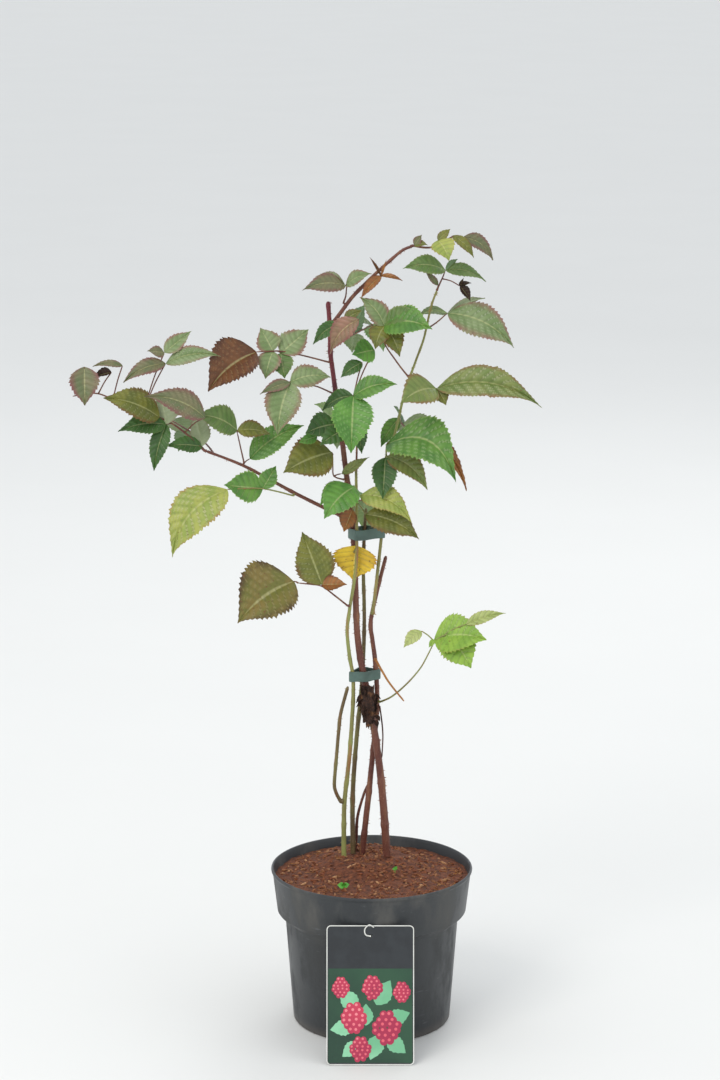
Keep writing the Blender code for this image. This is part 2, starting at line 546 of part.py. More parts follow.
def leaflet(hub, size, chance):
    """A thin closed blade that arches from its hub, a little folded along its midrib."""
    length, heading, lean, breadth, arch = size
    turn, tilt = math.radians(heading), math.radians(lean)
    along = Vector((math.cos(turn) * math.cos(tilt), math.sin(tilt), math.sin(turn) * math.cos(tilt)))
    front = 1 if lean > BACK_FACING_LEAN else -1
    facing = Vector((0, front * math.cos(LEAF_FACE_TILT), math.sin(LEAF_FACE_TILT)))
    normal = (facing - facing.dot(along) * along).normalized()
    side = normal.cross(along)
    upward = Vector((0, 0, 1)) - along.z * along
    rise = upward.normalized() if upward.length > 0.3 else normal
    half = 0.5 * max(0.9, LEAF_THICKNESS * length)
    fold = chance.uniform(0.02, 0.2)
    shape = bmesh.new()
    sections = []
    for share, wide in LEAF_STATIONS:
        middle = Vector(hub) + length * share * along + 4 * arch * length * share * (1 - share) * rise
        reach = max(0.5, 0.5 * breadth * length * wide)
        margin = fold * reach * normal
        spots = (middle - reach * side + margin, middle + half * normal,
                 middle + reach * side + margin, middle - half * normal)
        sections.append([shape.verts.new(spot) for spot in spots])
    for near, far in zip(sections, sections[1:]):
        for k in range(4):
            m = (k + 1) % 4
            shape.faces.new((near[k], near[m], far[m], far[k]))
    shape.faces.new(reversed(sections[0]))
    shape.faces.new(sections[-1])
    return shape


def hub_knob(place):
    shape = turned([(0, -HUB_RADIUS), (HUB_RADIUS, 0), (0, HUB_RADIUS)], 4)
    bmesh.ops.translate(shape, vec=Vector(place), verts=shape.verts)
    return shape


def stalk_to(hub, path, thick):
    """A thin stalk from the stem's nearest point to a hub that the stem doesn't reach."""
    start = min(path, key=lambda p: (p - Vector(hub)).length)
    if (start - Vector(hub)).length < HUB_RADIUS:
        return None
    shape = bmesh.new()
    tube(shape, smooth_path([start, hub], TWIG_STEP), (thick[1], thick[1]), 3)
    return shape


def touches(shape, others):
    tree = BVHTree.FromBMesh(shape)
    return [name for name, other in others.items() if tree.overlap(other)]


def join(name, shapes, kind):
    """Fuses the shapes of one spray and keeps its one outer skin."""
    first, *rest = [body(name, shape, kind) for shape in shapes]
    parts = bpy.data.collections.new(name + "_parts")
    bpy.context.scene.collection.children.link(parts)
    for other in rest:
        bpy.context.scene.collection.objects.unlink(other)
        parts.objects.link(other)
    fuse = first.modifiers.new("fuse", "BOOLEAN")
    fuse.operation = "UNION"
    fuse.operand_type = "COLLECTION"
    fuse.collection = parts
    fuse.solver = "MANIFOLD"
    bpy.context.view_layer.objects.active = first
    bpy.ops.object.modifier_apply(modifier=fuse.name)
    for other in list(parts.objects):
        bpy.data.objects.remove(other, do_unlink=True)
    bpy.data.collections.remove(parts)
    keep_outer_skin(first.data)
    return first


def keep_outer_skin(mesh):
    """Drops loose scraps, and the skins of hollows that fusing sealed."""
    shape = bmesh.new()
    shape.from_mesh(mesh)
    seen, skins = set(), []
    for face in shape.faces:
        if face in seen:
            continue
        seen.add(face)
        skin, waiting = [], [face]
        while waiting:
            here = waiting.pop()
            skin.append(here)
            for edge in here.edges:
                for after in edge.link_faces:
                    if after not in seen:
                        seen.add(after)
                        waiting.append(after)
        skins.append(skin)
    skins.sort(key=len)
    for skin in skins[:-1]:
        print("dropped a skin of", len(skin), "faces from", mesh.name)
        bmesh.ops.delete(shape, geom=skin, context="FACES")
    shape.to_mesh(mesh)
    shape.free()


def make_spray(name, spec, grown, placed, chance):
    path = smooth_path(seated(spec["stem"], grown[spec["on"]]), TWIG_STEP)
    stem = bmesh.new()
    tube(stem, path, spec["thick"], 3)
    shapes = [stem]
    for hub, *leaflets in spec["leaves"]:
        stalk = stalk_to(hub, path, spec["thick"])
        shapes += [hub_knob(hub)] + ([stalk] if stalk else [])
        for size in leaflets:
            blade = leaflet(hub, size, chance)
            hit = touches(blade, placed)
            if hit:
                print("left out of", name, ":", size, "touches", hit)
                blade.free()
                continue
            shapes.append(blade)
    kind = "yellow_leaf" if name == "yellow_leaf" else "pale_leaf" if name in PALE_SPRAYS else "leaf"
    return join(name, shapes, kind)


def tree_of(obj):
    shape = bmesh.new()
    shape.from_mesh(obj.data)
    bmesh.ops.scale(shape, vec=(1 / MM,) * 3, verts=shape.verts)
    tree = BVHTree.FromBMesh(shape)
    shape.free()
    return tree


def main():
    clear_scene()
    chance = random.Random(SEED)
    make_pot()
    make_soil()
    make_card()
    placed, grown = {}, {}
    for name, spec in TIES.items():
        placed[name] = tree_of(make_tie(name, spec))
    placed["withered_knot"] = tree_of(make_knot())
    for name, spec in LIMBS.items():
        placed[name] = tree_of(make_limb(name, spec, grown))
    for name, spec in SPRAYS.items():
        placed[name] = tree_of(make_spray(name, spec, grown, placed, chance))


main()
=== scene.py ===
# Potted tayberry: canes with prickles, leaf sprays in their autumn tints, pot, bark compost,
# ties and picture card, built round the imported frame. Sizes are in millimetres unless noted.
import json
import math
import random

import bpy
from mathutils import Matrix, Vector, noise

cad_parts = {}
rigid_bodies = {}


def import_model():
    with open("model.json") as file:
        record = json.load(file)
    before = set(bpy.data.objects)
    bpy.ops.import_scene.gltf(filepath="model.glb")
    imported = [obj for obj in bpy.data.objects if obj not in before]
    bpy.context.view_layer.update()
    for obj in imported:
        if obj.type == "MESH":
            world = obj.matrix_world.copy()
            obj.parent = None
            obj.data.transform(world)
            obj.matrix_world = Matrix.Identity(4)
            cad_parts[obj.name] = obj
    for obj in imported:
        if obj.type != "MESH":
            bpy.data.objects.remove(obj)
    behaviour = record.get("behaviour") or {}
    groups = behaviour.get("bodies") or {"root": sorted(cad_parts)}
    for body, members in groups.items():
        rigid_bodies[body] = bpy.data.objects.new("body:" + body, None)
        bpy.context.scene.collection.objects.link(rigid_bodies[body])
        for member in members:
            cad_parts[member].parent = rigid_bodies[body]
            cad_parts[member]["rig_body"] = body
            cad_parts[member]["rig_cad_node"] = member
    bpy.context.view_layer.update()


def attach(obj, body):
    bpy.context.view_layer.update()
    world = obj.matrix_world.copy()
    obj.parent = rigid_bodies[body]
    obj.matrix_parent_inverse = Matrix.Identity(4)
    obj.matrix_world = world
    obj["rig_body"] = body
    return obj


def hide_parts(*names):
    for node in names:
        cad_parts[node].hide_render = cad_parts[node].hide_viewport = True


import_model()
bpy.ops.object.select_all(action="DESELECT")
mm = 0.001

# the way that limbs and sprays grow
seatGap = 0.3
seatLength = 1.5
caneStep = 20.0
twigStep = 14.0
bladeTilt = math.radians(35)
backFacingLean = 25
foldSeed = 11

# limbs: thickness at foot and tip, then the places that each one passes through
limbs = {
    "main_cane": {"thick": (7.4, 4.0), "through": [
        (14.7, 26.1, 150.3), (9, 24, 226), (0, 20, 292), (-13, 14, 366), (-17, 12, 462),
        (-26, 12, 544), (-38, 7, 639), (-38.6, 7, 663), (-40.2, 9, 685.9)]},
    "top_branch": {"on": "main_cane", "thick": (3.8, 2.6), "through": [
        (-35, 4, 667), (-29, 3, 676), (-18, 2, 691), (5, -4, 715), (27, -9, 735), (34.9, -10, 738.8)]},
    "middle_cane": {"thick": (6.0, 3.4), "through": [
        (-9.1, 35, 150.3), (-4, 33, 198), (0, 33, 239), (5, 25, 300), (3, 21, 346),
        (-1, 18, 383), (5, 21, 412), (13.2, 24, 444.4)]},
    "right_shoot": {"on": "middle_cane", "thick": (3.2, 1.8), "through": [
        (1.0, 12.2, 392.0), (3, 12, 412), (8, 14, 457), (15, 11, 529), (24, 4, 577),
        (32, -2, 611), (47, -8, 655), (53, -10, 683), (58.5, -12, 699.5)]},
    "left_cane": {"thick": (4.6, 2.4), "through": [
        (-26.3, 26.1, 150.3), (-26, 26, 200), (-21, 21, 251), (-17.5, 13.4, 309), (-17.6, 13.5, 331),
        (-23, 7, 376), (-15, 2.4, 436), (-14, 3.4, 469), (-14.7, 7, 529.7)]},
    "left_fork": {"on": "left_cane", "thick": (3.4, 3.2), "through": [
        (-30, 25, 205.4), (-35, 22, 219), (-33, 19, 254), (-29, 16, 295), (-22.4, 14, 321)]},
    "back_cane": {"thick": (4.8, 3.0), "through": [
        (-17.7, 35, 150.3), (-18, 38, 207), (-14, 34, 268), (-9, 27.4, 324), (-7, 25, 383),
        (-8, 21, 441), (-5.5, 20, 490.8)]},
    "side_stem": {"thick": (3.4, 2.2), "through": [
        (-15.6, 42.6, 150.3), (-13, 41, 187), (-7, 39.5, 209), (-3.4, 37.6, 217.9)]},
    "left_bough": {"on": "main_cane", "thick": (3.8, 2.4), "through": [
        (-26.9, 11, 482.8), (-42, 8, 493), (-74, 0, 511), (-116, -8, 536), (-151.6, -14, 551.7)]},
    "withered_stalk": {"on": "middle_cane", "thick": (2.4, 1.6), "through": [
        (4.6, 14, 345.5), (10, 4.5, 338), (17, 2, 327), (30.1, 2, 310.2)]},
    "dark_twig": {"on": "middle_cane", "thick": (1.5, 1.2), "through": [
        (9, 20, 299), (10.4, 18, 275), (9.6, 17.4, 250.4)]},
}

# sprays: the stem, then each hub with its leaflets, as length, heading (0 right, 90 up),
# lean away from the front, breadth and arch
sprays = {
    "tip_spray": {"on": "top_branch", "thick": (2.2, 1.2), "stem": [
        (36.6, -10.2, 739.0), (48, -12, 738), (59, -14, 740), (72, -14, 748), (81, -12, 747)],
        "leaves": [
            ((38, -12, 740), (13, 60, -22, 0.60, 0.00), (14, 9, -34, 0.50, 0.10)),
            ((59, -15, 745), (24, -59, -39, 0.85, 0.10), (16, 43, 19, 0.50, 0.00)),
            ((72, -14, 749), (28, -44, -16, 0.34, 0.10)),
            ((81, -12, 747), (38, -36, 18, 0.38, 0.14))]},
    "upper_left_spray": {"on": "top_branch", "thick": (1.6, 1.1), "stem": [
        (-26.5, 2, 686.0), (-24, 1, 692), (-23, -1, 703)],
        "leaves": [
            ((-24, -1, 702), (41, -178, -20, 0.44, 0.10), (32, 166, 28, 0.40, 0.10),
             (30, 31, -28, 0.46, 0.08))]},
    "bract_spray": {"on": "top_branch", "thick": (1.4, 1.1), "stem": [
        (7, -6.6, 713.4), (8, -9, 711)],
        "leaves": [
            ((8, -9, 712), (20, -8, -17, 0.24, 0.05), (28, -136, -25, 0.34, 0.05),
             (20, 117, -11, 0.14, 0.00), (16, 73, -14, 0.14, 0.00))]},
    "fork_spray": {"on": "main_cane", "thick": (1.6, 1.1), "stem": [
        (-33.6, 1.6, 663.0), (-24, -16, 672), (-13, -38, 676)],
        "leaves": [
            ((-12, -40, 677), (43, -130, 13, 0.46, 0.12)),
            ((-25, -14, 672), (19, 33, -18, 0.60, 0.05)),
            ((-28, -6, 668), (34, -149, -28, 0.42, 0.10))]},
    "right_fork_spray": {"on": "right_shoot", "thick": (1.6, 1.1), "stem": [
        (31.6, -4.2, 620.0), (21, -8, 635), (11, -14, 652), (11, -18, 668)],
        "leaves": [
            ((11, -18, 668), (34, 130, 10, 0.55, 0.10), (36, 24, -20, 0.50, 0.10),
             (50, 1, -34, 0.62, 0.12), (33, -60, -29, 0.60, 0.08), (26, -114, -39, 0.75, 0.10))]},
    "big_right_spray": {"on": "right_shoot", "thick": (1.6, 1.1), "stem": [
        (52.4, -8.6, 665.1), (60, -10, 671), (68, -14, 679)],
        "leaves": [
            ((68, -14, 679), (68, -27, -7, 0.46, 0.12), (41, 19, 29, 0.24, 0.05),
             (36, -168, 42, 0.34, 0.08))]},
    "right_tip_spray": {"on": "right_shoot", "thick": (1.7, 1.1), "stem": [
        (59.4, -12.3, 702.3), (63, -13, 710), (66, -14, 718)],
        "leaves": [
            ((66, -14, 718), (42, 173, -25, 0.44, 0.10), (44, -18, 24, 0.28, 0.10),
             (16, 41, 31, 0.60, 0.00)),
            ((59.6, -12.6, 704), (20, 130, -18, 0.30, 0.00)),
            ((79, -26, 705), (8, 71, -14, 0.40, 0.00), (11, 23, 10, 0.40, 0.00),
             (16, -51, -14, 0.50, 0.00))]},
    "long_right_spray": {"on": "right_shoot", "thick": (1.8, 1.3), "stem": [
        (31.0, -5, 603.8), (40, -20, 608), (58, -32, 613)],
        "leaves": [
            ((58, -32, 613), (97, -8, -12, 0.30, 0.14), (18, -58, -26, 0.80, 0.05),
             (40, -162, -33, 0.78, 0.12))]},
    "right_middle_spray": {"on": "right_shoot", "thick": (2.0, 1.3), "stem": [
        (14.7, 7, 533.7), (13, -4, 545), (13, -14, 557)],
        "leaves": [
            ((13, -14, 558), (75, -24, -25, 0.60, 0.30), (85, -26, -4, 0.24, 0.24)),
            ((14, -8, 546), (49, -38, -21, 0.45, 0.14)),
            ((12, -10, 545), (39, -93, -24, 0.55, 0.00))]},
    "left_trio_spray": {"on": "main_cane", "thick": (1.6, 1.1), "stem": [
        (-39.6, 4.4, 630.8), (-63, -8, 639), (-85, -14, 644), (-105, -18, 644)],
        "leaves": [
            ((-105, -18, 644), (56, -145, -17, 0.74, 0.08)),
            ((-90, -14, 644), (24, 117, 9, 0.90, 0.00), (27, -107, -27, 0.75, 0.05)),
            ((-83, -13, 642), (35, 38, 22, 0.70, 0.00), (24, -80, -27, 0.80, 0.00))]},
    "left_pair_spray": {"on": "main_cane", "thick": (1.6, 1.1), "stem": [
        (-35.8, 6, 601.7), (-49, -8, 610), (-74, -38, 620)],
        "leaves": [
            ((-74, -40, 620), (40, 3, 23, 0.55, 0.10), (30, -161, -20, 0.36, 0.05),
             (49, -104, -19, 0.64, 0.08))]},
    "centre_spray": {"on": "left_cane", "thick": (2.1, 1.3), "stem": [
        (-14.7, 7.2, 532.4), (-14, -6, 560), (-17, -24, 604)],
        "leaves": [
            ((-17, -26, 605), (53, -92, -25, 0.66, 0.06), (42, 19, -14, 0.48, 0.10),
             (35, -153, 20, 0.44, 0.10)),
            ((-33, -20, 578), (30, -167, -20, 0.85, 0.05)),
            ((-24, -26, 574), (29, -154, -25, 0.60, 0.05)),
            ((-50, -20, 567), (18, -160, -7, 0.60, 0.00)),
            ((-14, -14, 580), (32, -80, 4, 0.44, 0.00)),
            ((2, -12, 645), (22, -173, -22, 1.05, 0.00)),
            ((-9, -16, 634), (24, -147, -14, 0.55, 0.05))]},
    "olive_spray": {"on": "main_cane", "thick": (1.5, 1.1), "stem": [
        (-28.6, 7.6, 520.1), (-35, 2, 525), (-36, -4, 546)],
        "leaves": [
            ((-37, -5, 549), (50, -161, -22, 0.80, 0.05)),
            ((-28, 3, 527), (31, 35, -11, 0.30, 0.00))]},
    "bough_middle_spray": {"on": "left_bough", "thick": (1.6, 1.1), "stem": [
        (-117.2, -10, 539.5), (-120, -12, 554), (-123, -14, 569)],
        "leaves": [
            ((-123, -14, 571), (42, 155, -17, 0.62, 0.10), (32, -10, 14, 0.50, 0.08)),
            ((-112, -2, 542), (59, 31, 14, 0.42, 0.08))]},
    "hanging_spray": {"on": "left_bough", "thick": (1.6, 1.2), "stem": [
        (-72.7, -3.6, 506.0), (-100, -16, 517), (-132, -24, 518)],
        "leaves": [
            ((-132, -24, 518), (80, -130, -9, 0.48, 0.16)),
            ((-100, -16, 517), (36, 172, -12, 0.80, 0.00), (25, 57, 23, 0.65, 0.00))]},
    "bough_tip_spray": {"on": "left_bough", "thick": (2.2, 1.2), "stem": [
        (-153.6, -14.4, 552.7), (-182, -18, 578), (-220, -24, 594), (-248, -26, 607), (-271, -28, 605)],
        "leaves": [
            ((-193, -24, 585), (56, 157, -19, 0.52, 0.08)),
            ((-187, -22, 578), (45, -175, -18, 0.44, 0.08), (44, -105, -10, 0.38, 0.05),
             (31, 100, 27, 0.80, 0.00)),
            ((-151, -36, 587), (59, 156, -12, 0.42, 0.10)),
            ((-155, -15, 556), (35, 175, -22, 0.44, 0.05), (37, 101, 30, 0.50, 0.00)),
            ((-260, -28, 632), (35, -88, -13, 0.72, 0.05)),
            ((-236, -22, 626), (18, -170, -6, 0.45, 0.00)),
            ((-226, -22, 632), (27, 180, -13, 0.26, 0.10)),
            ((-187, -22, 634), (42, -159, -14, 0.36, 0.10), (52, 10, -11, 0.32, 0.10)),
            ((-188, -22, 644), (32, 38, 15, 0.46, 0.00), (19, 164, -40, 0.60, 0.00))]},
    "low_centre_spray": {"on": "left_cane", "thick": (2.0, 1.3), "stem": [
        (-13.8, 3, 499.7), (-13, -9, 510)],
        "leaves": [
            ((-16, -11, 518), (43, -137, -32, 0.72, 0.10)),
            ((-11, -12, 510), (55, -23, -19, 0.42, 0.16)),
            ((-6, -12, 492), (54, -23, -11, 0.50, 0.10)),
            ((-18, -6, 495), (22, -113, -11, 0.70, 0.00)),
            ((-24, -4, 519), (31, -141, -11, 0.50, 0.10))]},
    "lower_left_spray": {"on": "left_cane", "thick": (1.8, 1.2), "stem": [
        (-23.1, 1, 402.1), (-34, -4, 413), (-46, -8, 423), (-68, -15, 428)],
        "leaves": [
            ((-72, -16, 430), (64, -147, -18, 0.86, 0.08)),
            ((-46, -9, 425), (52, 111, 8, 0.68, 0.00), (23, 6, -13, 0.60, 0.00))]},
    "yellow_leaf": {"on": "main_cane", "thick": (1.5, 1.2), "stem": [
        (-16.6, 8.4, 451.9), (-14, 8, 458)],
        "leaves": [((-14, 8, 458), (33, -98, 0, 1.15, 0.00))]},
    "lower_right_spray": {"on": "middle_cane", "thick": (1.8, 1.2), "stem": [
        (8.9, 21, 304), (17, 15, 310), (31, 7, 324), (46, 0, 344), (58, -6, 370)],
        "leaves": [
            ((58, -6, 372), (50, 4, -19, 0.74, 0.10), (10, -133, -36, 0.50, 0.00)),
            ((70, -10, 378), (39, -51, -25, 0.85, 0.05)),
            ((87, -12, 388), (39, 14, 9, 0.28, 0.05)),
            ((46, -2, 379), (23, -140, -20, 0.50, 0.08))]},
    "back_upper_spray": {"on": "main_cane", "thick": (1.8, 1.2), "stem": [
        (-36.0, 9, 648.4), (-20, 34, 650), (0, 62, 656)],
        "leaves": [
            ((-17, 42, 652), (31, -95, 46, 0.60, 0.05), (31, 68, 36, 0.60, 0.05)),
            ((1, 64, 656), (34, 5, 36, 0.60, 0.10), (38, -72, 39, 0.60, 0.10),
             (34, -172, 55, 0.60, 0.10))]},
    "back_right_spray": {"on": "right_shoot", "thick": (1.8, 1.2), "stem": [
        (24.4, 6, 579.9), (28, 36, 567), (38, 66, 554)],
        "leaves": [
            ((29, 40, 566), (33, -5, 33, 0.60, 0.10), (28, 115, 58, 0.60, 0.05)),
            ((25, 14, 577), (33, -122, 7, 0.42, 0.05)),
            ((39, 68, 554), (36, -21, 30, 0.60, 0.10), (38, -95, 39, 0.60, 0.10),
             (37, -171, 50, 0.60, 0.10))]},
    "back_centre_spray": {"on": "main_cane", "thick": (1.8, 1.2), "stem": [
        (-28.0, 15, 563.6), (-30, 36, 562), (-33, 68, 561)],
        "leaves": [
            ((-31, 40, 563), (31, -168, 38, 0.60, 0.10), (33, -60, 36, 0.60, 0.05)),
            ((-34, 69, 562), (31, 143, 39, 0.60, 0.10), (35, 41, 47, 0.60, 0.10),
             (42, -86, 44, 0.60, 0.10))]},
    "back_left_spray": {"on": "left_bough", "thick": (1.8, 1.2), "stem": [
        (-145.5, -10, 549.6), (-159, 18, 558), (-188, 58, 567)],
        "leaves": [
            ((-167, 30, 560), (32, 67, 49, 0.60, 0.10), (32, -124, 38, 0.60, 0.10)),
            ((-188, 58, 567), (44, -176, 22, 0.60, 0.10), (36, 120, 46, 0.60, 0.10),
             (42, -61, 50, 0.60, 0.10))]},
    "back_low_spray": {"on": "main_cane", "thick": (1.8, 1.2), "stem": [
        (-20.3, 15.4, 491.7), (-17, 34, 493), (-9, 52, 492)],
        "leaves": [
            ((-16, 38, 492), (34, -117, 36, 0.60, 0.05)),
            ((-8, 54, 491), (37, -32, 29, 0.60, 0.10), (44, -86, 33, 0.60, 0.10),
             (27, 141, 61, 0.60, 0.10))]},
}

# what each limb's skin is like: bark, prickles for each millimetre, their length
barkLooks = {
    "main_cane": ("redBark", 0.95, 2.6), "top_branch": ("redBark", 0.8, 2.0),
    "middle_cane": ("redBark", 0.7, 2.2), "side_stem": ("redBark", 0.3, 1.6),
    "right_shoot": ("greenBark", 0.8, 1.8), "left_cane": ("greenBark", 0.7, 1.8),
    "left_fork": ("oliveBark", 0.5, 1.8), "back_cane": ("oliveBark", 0.6, 2.0),
    "left_bough": ("redBark", 0.8, 1.9), "withered_stalk": ("dryWood", 0.0, 0.0),
    "dark_twig": ("darkWood", 0.0, 0.0),
}

# tint of each leaf: face, second face colour, edge, underside, spots, edge width
leafTints = {
    "fresh": ("#5f8a34", "#47752a", "#7f9a48", "#8aa06a", 0.1, 0.15),
    "bright": ("#609238", "#477a28", "#7a9a44", "#86a468", 0.05, 0.1),
    "deep": ("#3c6224", "#2e521b", "#566a2c", "#6a8458", 0.05, 0.15),
    "mid": ("#687e42", "#527030", "#76804a", "#84966a", 0.15, 0.25),
    "grey": ("#7f9060", "#6a804c", "#8a5f56", "#98a280", 0.2, 0.5),
    "olive": ("#75762a", "#5d6420", "#6a4a20", "#8a8c58", 0.3, 0.4),
    "oliveGrey": ("#7a8444", "#687a3a", "#7c5a34", "#949a6c", 0.3, 0.35),
    "yellowGreen": ("#a3a850", "#8a9a44", "#9a7a3a", "#b0b07a", 0.5, 0.2),
    "purple": ("#74704e", "#5f6a44", "#7a4a48", "#8c8468", 0.3, 0.6),
    "pink": ("#98705c", "#80684c", "#7c4a44", "#a08a74", 0.3, 0.5),
    "rust": ("#a06a34", "#8a5526", "#6a3a1c", "#ac8454", 0.4, 0.4),
    "brownRed": ("#6e4420", "#5a3418", "#48240f", "#86623e", 0.4, 0.4),
    "brownOlive": ("#7a6a30", "#6a6a28", "#4a3214", "#8c8052", 0.6, 0.5),
    "yellow": ("#dcbc2c", "#c8a424", "#a8781c", "#dcc860", 0.6, 0.2),
    "lime": ("#8db03e", "#7aa036", "#8f9440", "#a0b66c", 0.3, 0.15),
    "pale": ("#aeb872", "#9aa85e", "#a08c50", "#b8be8c", 0.3, 0.2),
    "dried": ("#3e2820", "#2c1a14", "#1f120c", "#4a342a", 0.2, 0.5),
}
sprayTints = {
    "tip_spray": ("purple", "olive", "yellowGreen", "olive", "olive", "purple"),
    "upper_left_spray": ("purple", "grey", "grey"),
    "bract_spray": ("rust", "rust", "brownRed", "rust"),
    "fork_spray": ("pink", "olive", "deep"),
    "right_fork_spray": ("grey", "mid", "fresh", "olive", "olive"),
    "big_right_spray": ("grey", "grey", "mid"),
    "right_tip_spray": ("mid", "mid", "deep", "purple", "dried", "dried", "dried"),
    "long_right_spray": ("oliveGrey", "olive", "oliveGrey"),
    "right_middle_spray": ("fresh", "rust", "oliveGrey", "deep"),
    "left_trio_spray": ("brownRed", "grey", "grey", "grey", "mid"),
    "left_pair_spray": ("grey", "purple", "grey"),
    "centre_spray": ("bright", "fresh", "deep", "deep", "deep", "bright", "deep", "bright", "deep"),
    "olive_spray": ("olive", "oliveGrey"),
    "bough_middle_spray": ("mid", "olive", "fresh"),
    "hanging_spray": ("yellowGreen", "fresh", "fresh"),
    "bough_tip_spray": ("olive", "deep", "deep", "grey", "purple", "deep", "grey", "purple", "dried",
                        "purple", "purple", "grey", "grey", "purple"),
    "low_centre_spray": ("bright", "yellowGreen", "olive", "rust", "bright"),
    "lower_left_spray": ("brownOlive", "olive", "rust"),
    "yellow_leaf": ("yellow",),
    "lower_right_spray": ("lime", "lime", "lime", "pale", "pale"),
}
backTints = ("mid", "deep", "fresh", "bright", "mid")


# helpers for colours and materials
def hexColour(text):
    parts = [int(text[i:i + 2], 16) / 255 for i in (1, 3, 5)]
    linear = [p / 12.92 if p <= 0.04045 else ((p + 0.055) / 1.055) ** 2.4 for p in parts]
    return (*linear, 1.0)


def addNode(tree, kind, settings=None, inputs=None):
    node = tree.nodes.new(kind)
    for name, value in (settings or {}).items():
        setattr(node, name, value)
    for name, value in (inputs or {}).items():
        if isinstance(value, bpy.types.NodeSocket):
            tree.links.new(value, node.inputs[name])
        else:
            node.inputs[name].default_value = value
    return node


def mixColour(tree, factor, first, second, way="MIX"):
    node = addNode(tree, "ShaderNodeMix", {"data_type": "RGBA", "blend_type": way},
                   {0: factor, 6: first, 7: second})
    return node.outputs[2]


def mask(tree, value, low, high):
    # smooth step from low to high; low may be the larger one
    node = addNode(tree, "ShaderNodeMapRange", {"interpolation_type": "SMOOTHSTEP"},
                   {"Value": value, "From Min": min(low, high), "From Max": max(low, high),
                    "To Min": 0.0 if low < high else 1.0, "To Max": 1.0 if low < high else 0.0})
    return node.outputs[0]


def product(tree, a, b, how="MULTIPLY"):
    node = addNode(tree, "ShaderNodeMath", {"operation": how, "use_clamp": True}, {0: a, 1: b})
    return node.outputs[0]


def twoTone(tree, value, low, high, first, second):
    return mixColour(tree, mask(tree, value, low, high), hexColour(first), hexColour(second))


def overlay(tree, colour, value, low, high, share, tone):
    # a share of the tone laid over the colour, coming in from low to high
    return mixColour(tree, product(tree, mask(tree, value, low, high), share), colour, hexColour(tone))


def bladeParts(tree):
    # what makePiece stores for each point, as three values
    blade = addNode(tree, "ShaderNodeAttribute", {"attribute_name": "blade"})
    return addNode(tree, "ShaderNodeSeparateXYZ", None, {0: blade.outputs["Vector"]}).outputs


def speckle(tree, scale, detail=3.0, rough=0.55, stretch=None):
    place = addNode(tree, "ShaderNodeTexCoord").outputs["Object"]
    if stretch:
        place = addNode(tree, "ShaderNodeMapping", None, {"Vector": place, "Scale": stretch}).outputs[0]
    return addNode(tree, "ShaderNodeTexNoise", None,
                   {"Vector": place, "Scale": scale, "Detail": detail, "Roughness": rough}).outputs[0]


def newMaterial(name, roughness):
    made = bpy.data.materials.new(name)
    made.use_nodes = True
    shader = made.node_tree.nodes["Principled BSDF"]
    shader.inputs["Roughness"].default_value = roughness
    return made, made.node_tree, shader


def finishMaterial(tree, shader, colour, height=None, strength=0.3, depth=0.0004, rough=None):
    tree.links.new(colour, shader.inputs["Base Color"])
    if height is not None:
        bump = addNode(tree, "ShaderNodeBump", None,
                       {"Height": height, "Strength": strength, "Distance": depth})
        tree.links.new(bump.outputs[0], shader.inputs["Normal"])
    if rough is not None:
        tree.links.new(rough, shader.inputs["Roughness"])


def leafMaterial(name, tint):
    face, second, edge, under, spots, edgeWidth = tint
    made, tree, shader = newMaterial("leaf_" + name, 0.5)
    across, vein, below = bladeParts(tree)
    blotch, grain, fleck = speckle(tree, 70), speckle(tree, 900, 2), speckle(tree, 330, 2)
    colour = twoTone(tree, blotch, 0.35, 0.62, face, second)
    rim = product(tree, mask(tree, across, 1.02 - edgeWidth, 1.0), mask(tree, blotch, 0.25, 0.6))
    colour = mixColour(tree, rim, colour, hexColour(edge))
    line = product(tree, mask(tree, vein, 0.10, 0.02), 0.55)
    rib = product(tree, mask(tree, across, 0.07, 0.02), 0.8)
    paleVein = mixColour(tree, 0.45, hexColour(face), hexColour("#c6c890"))
    colour = mixColour(tree, product(tree, line, rib, "MAXIMUM"), colour, paleVein)
    # painted shade: the blade is darkened along the grooves of its veins
    colour = overlay(tree, colour, vein, 0.22, 0.05, 0.25, "#20280c")
    spotFrom = 0.74 - 0.14 * spots
    colour = overlay(tree, colour, fleck, spotFrom, spotFrom + 0.04, min(1.0, 0.5 + spots), "#6a4422")
    colour = mixColour(tree, product(tree, below, 0.75), colour, hexColour(under))
    height = product(tree, grain, product(tree, mask(tree, vein, 0.0, 0.12), 0.5), "ADD")
    finishMaterial(tree, shader, colour, height, 0.35, 0.0003)
    return made


def barkMaterial(name, base, second, streak, roughness=0.5):
    made, tree, shader = newMaterial(name, roughness)
    long = speckle(tree, 190, 4, 0.6, (1.0, 1.0, 0.12))
    patch, grain = speckle(tree, 24, 2), speckle(tree, 1100, 3)
    colour = twoTone(tree, patch, 0.38, 0.62, base, second)
    colour = overlay(tree, colour, long, 0.52, 0.7, 0.6, streak)
    colour = overlay(tree, colour, grain, 0.55, 0.75, 0.25, "#d8b890")
    height = product(tree, long, product(tree, grain, 0.4), "ADD")
    finishMaterial(tree, shader, colour, height, 0.5, 0.0005)
    return made


def prickleMaterial():
    made, tree, shader = newMaterial("prickle", 0.45)
    tip, green = bladeParts(tree)[:2]
    foot = mixColour(tree, green, hexColour("#7a2c28"), hexColour("#a89a50"))
    foot = mixColour(tree, product(tree, speckle(tree, 300), 0.4), foot, hexColour("#4a1a18"))
    colour = mixColour(tree, mask(tree, tip, 0.3, 1.0), foot, hexColour("#dcb48a"))  # pale tips
    finishMaterial(tree, shader, colour)
    return made


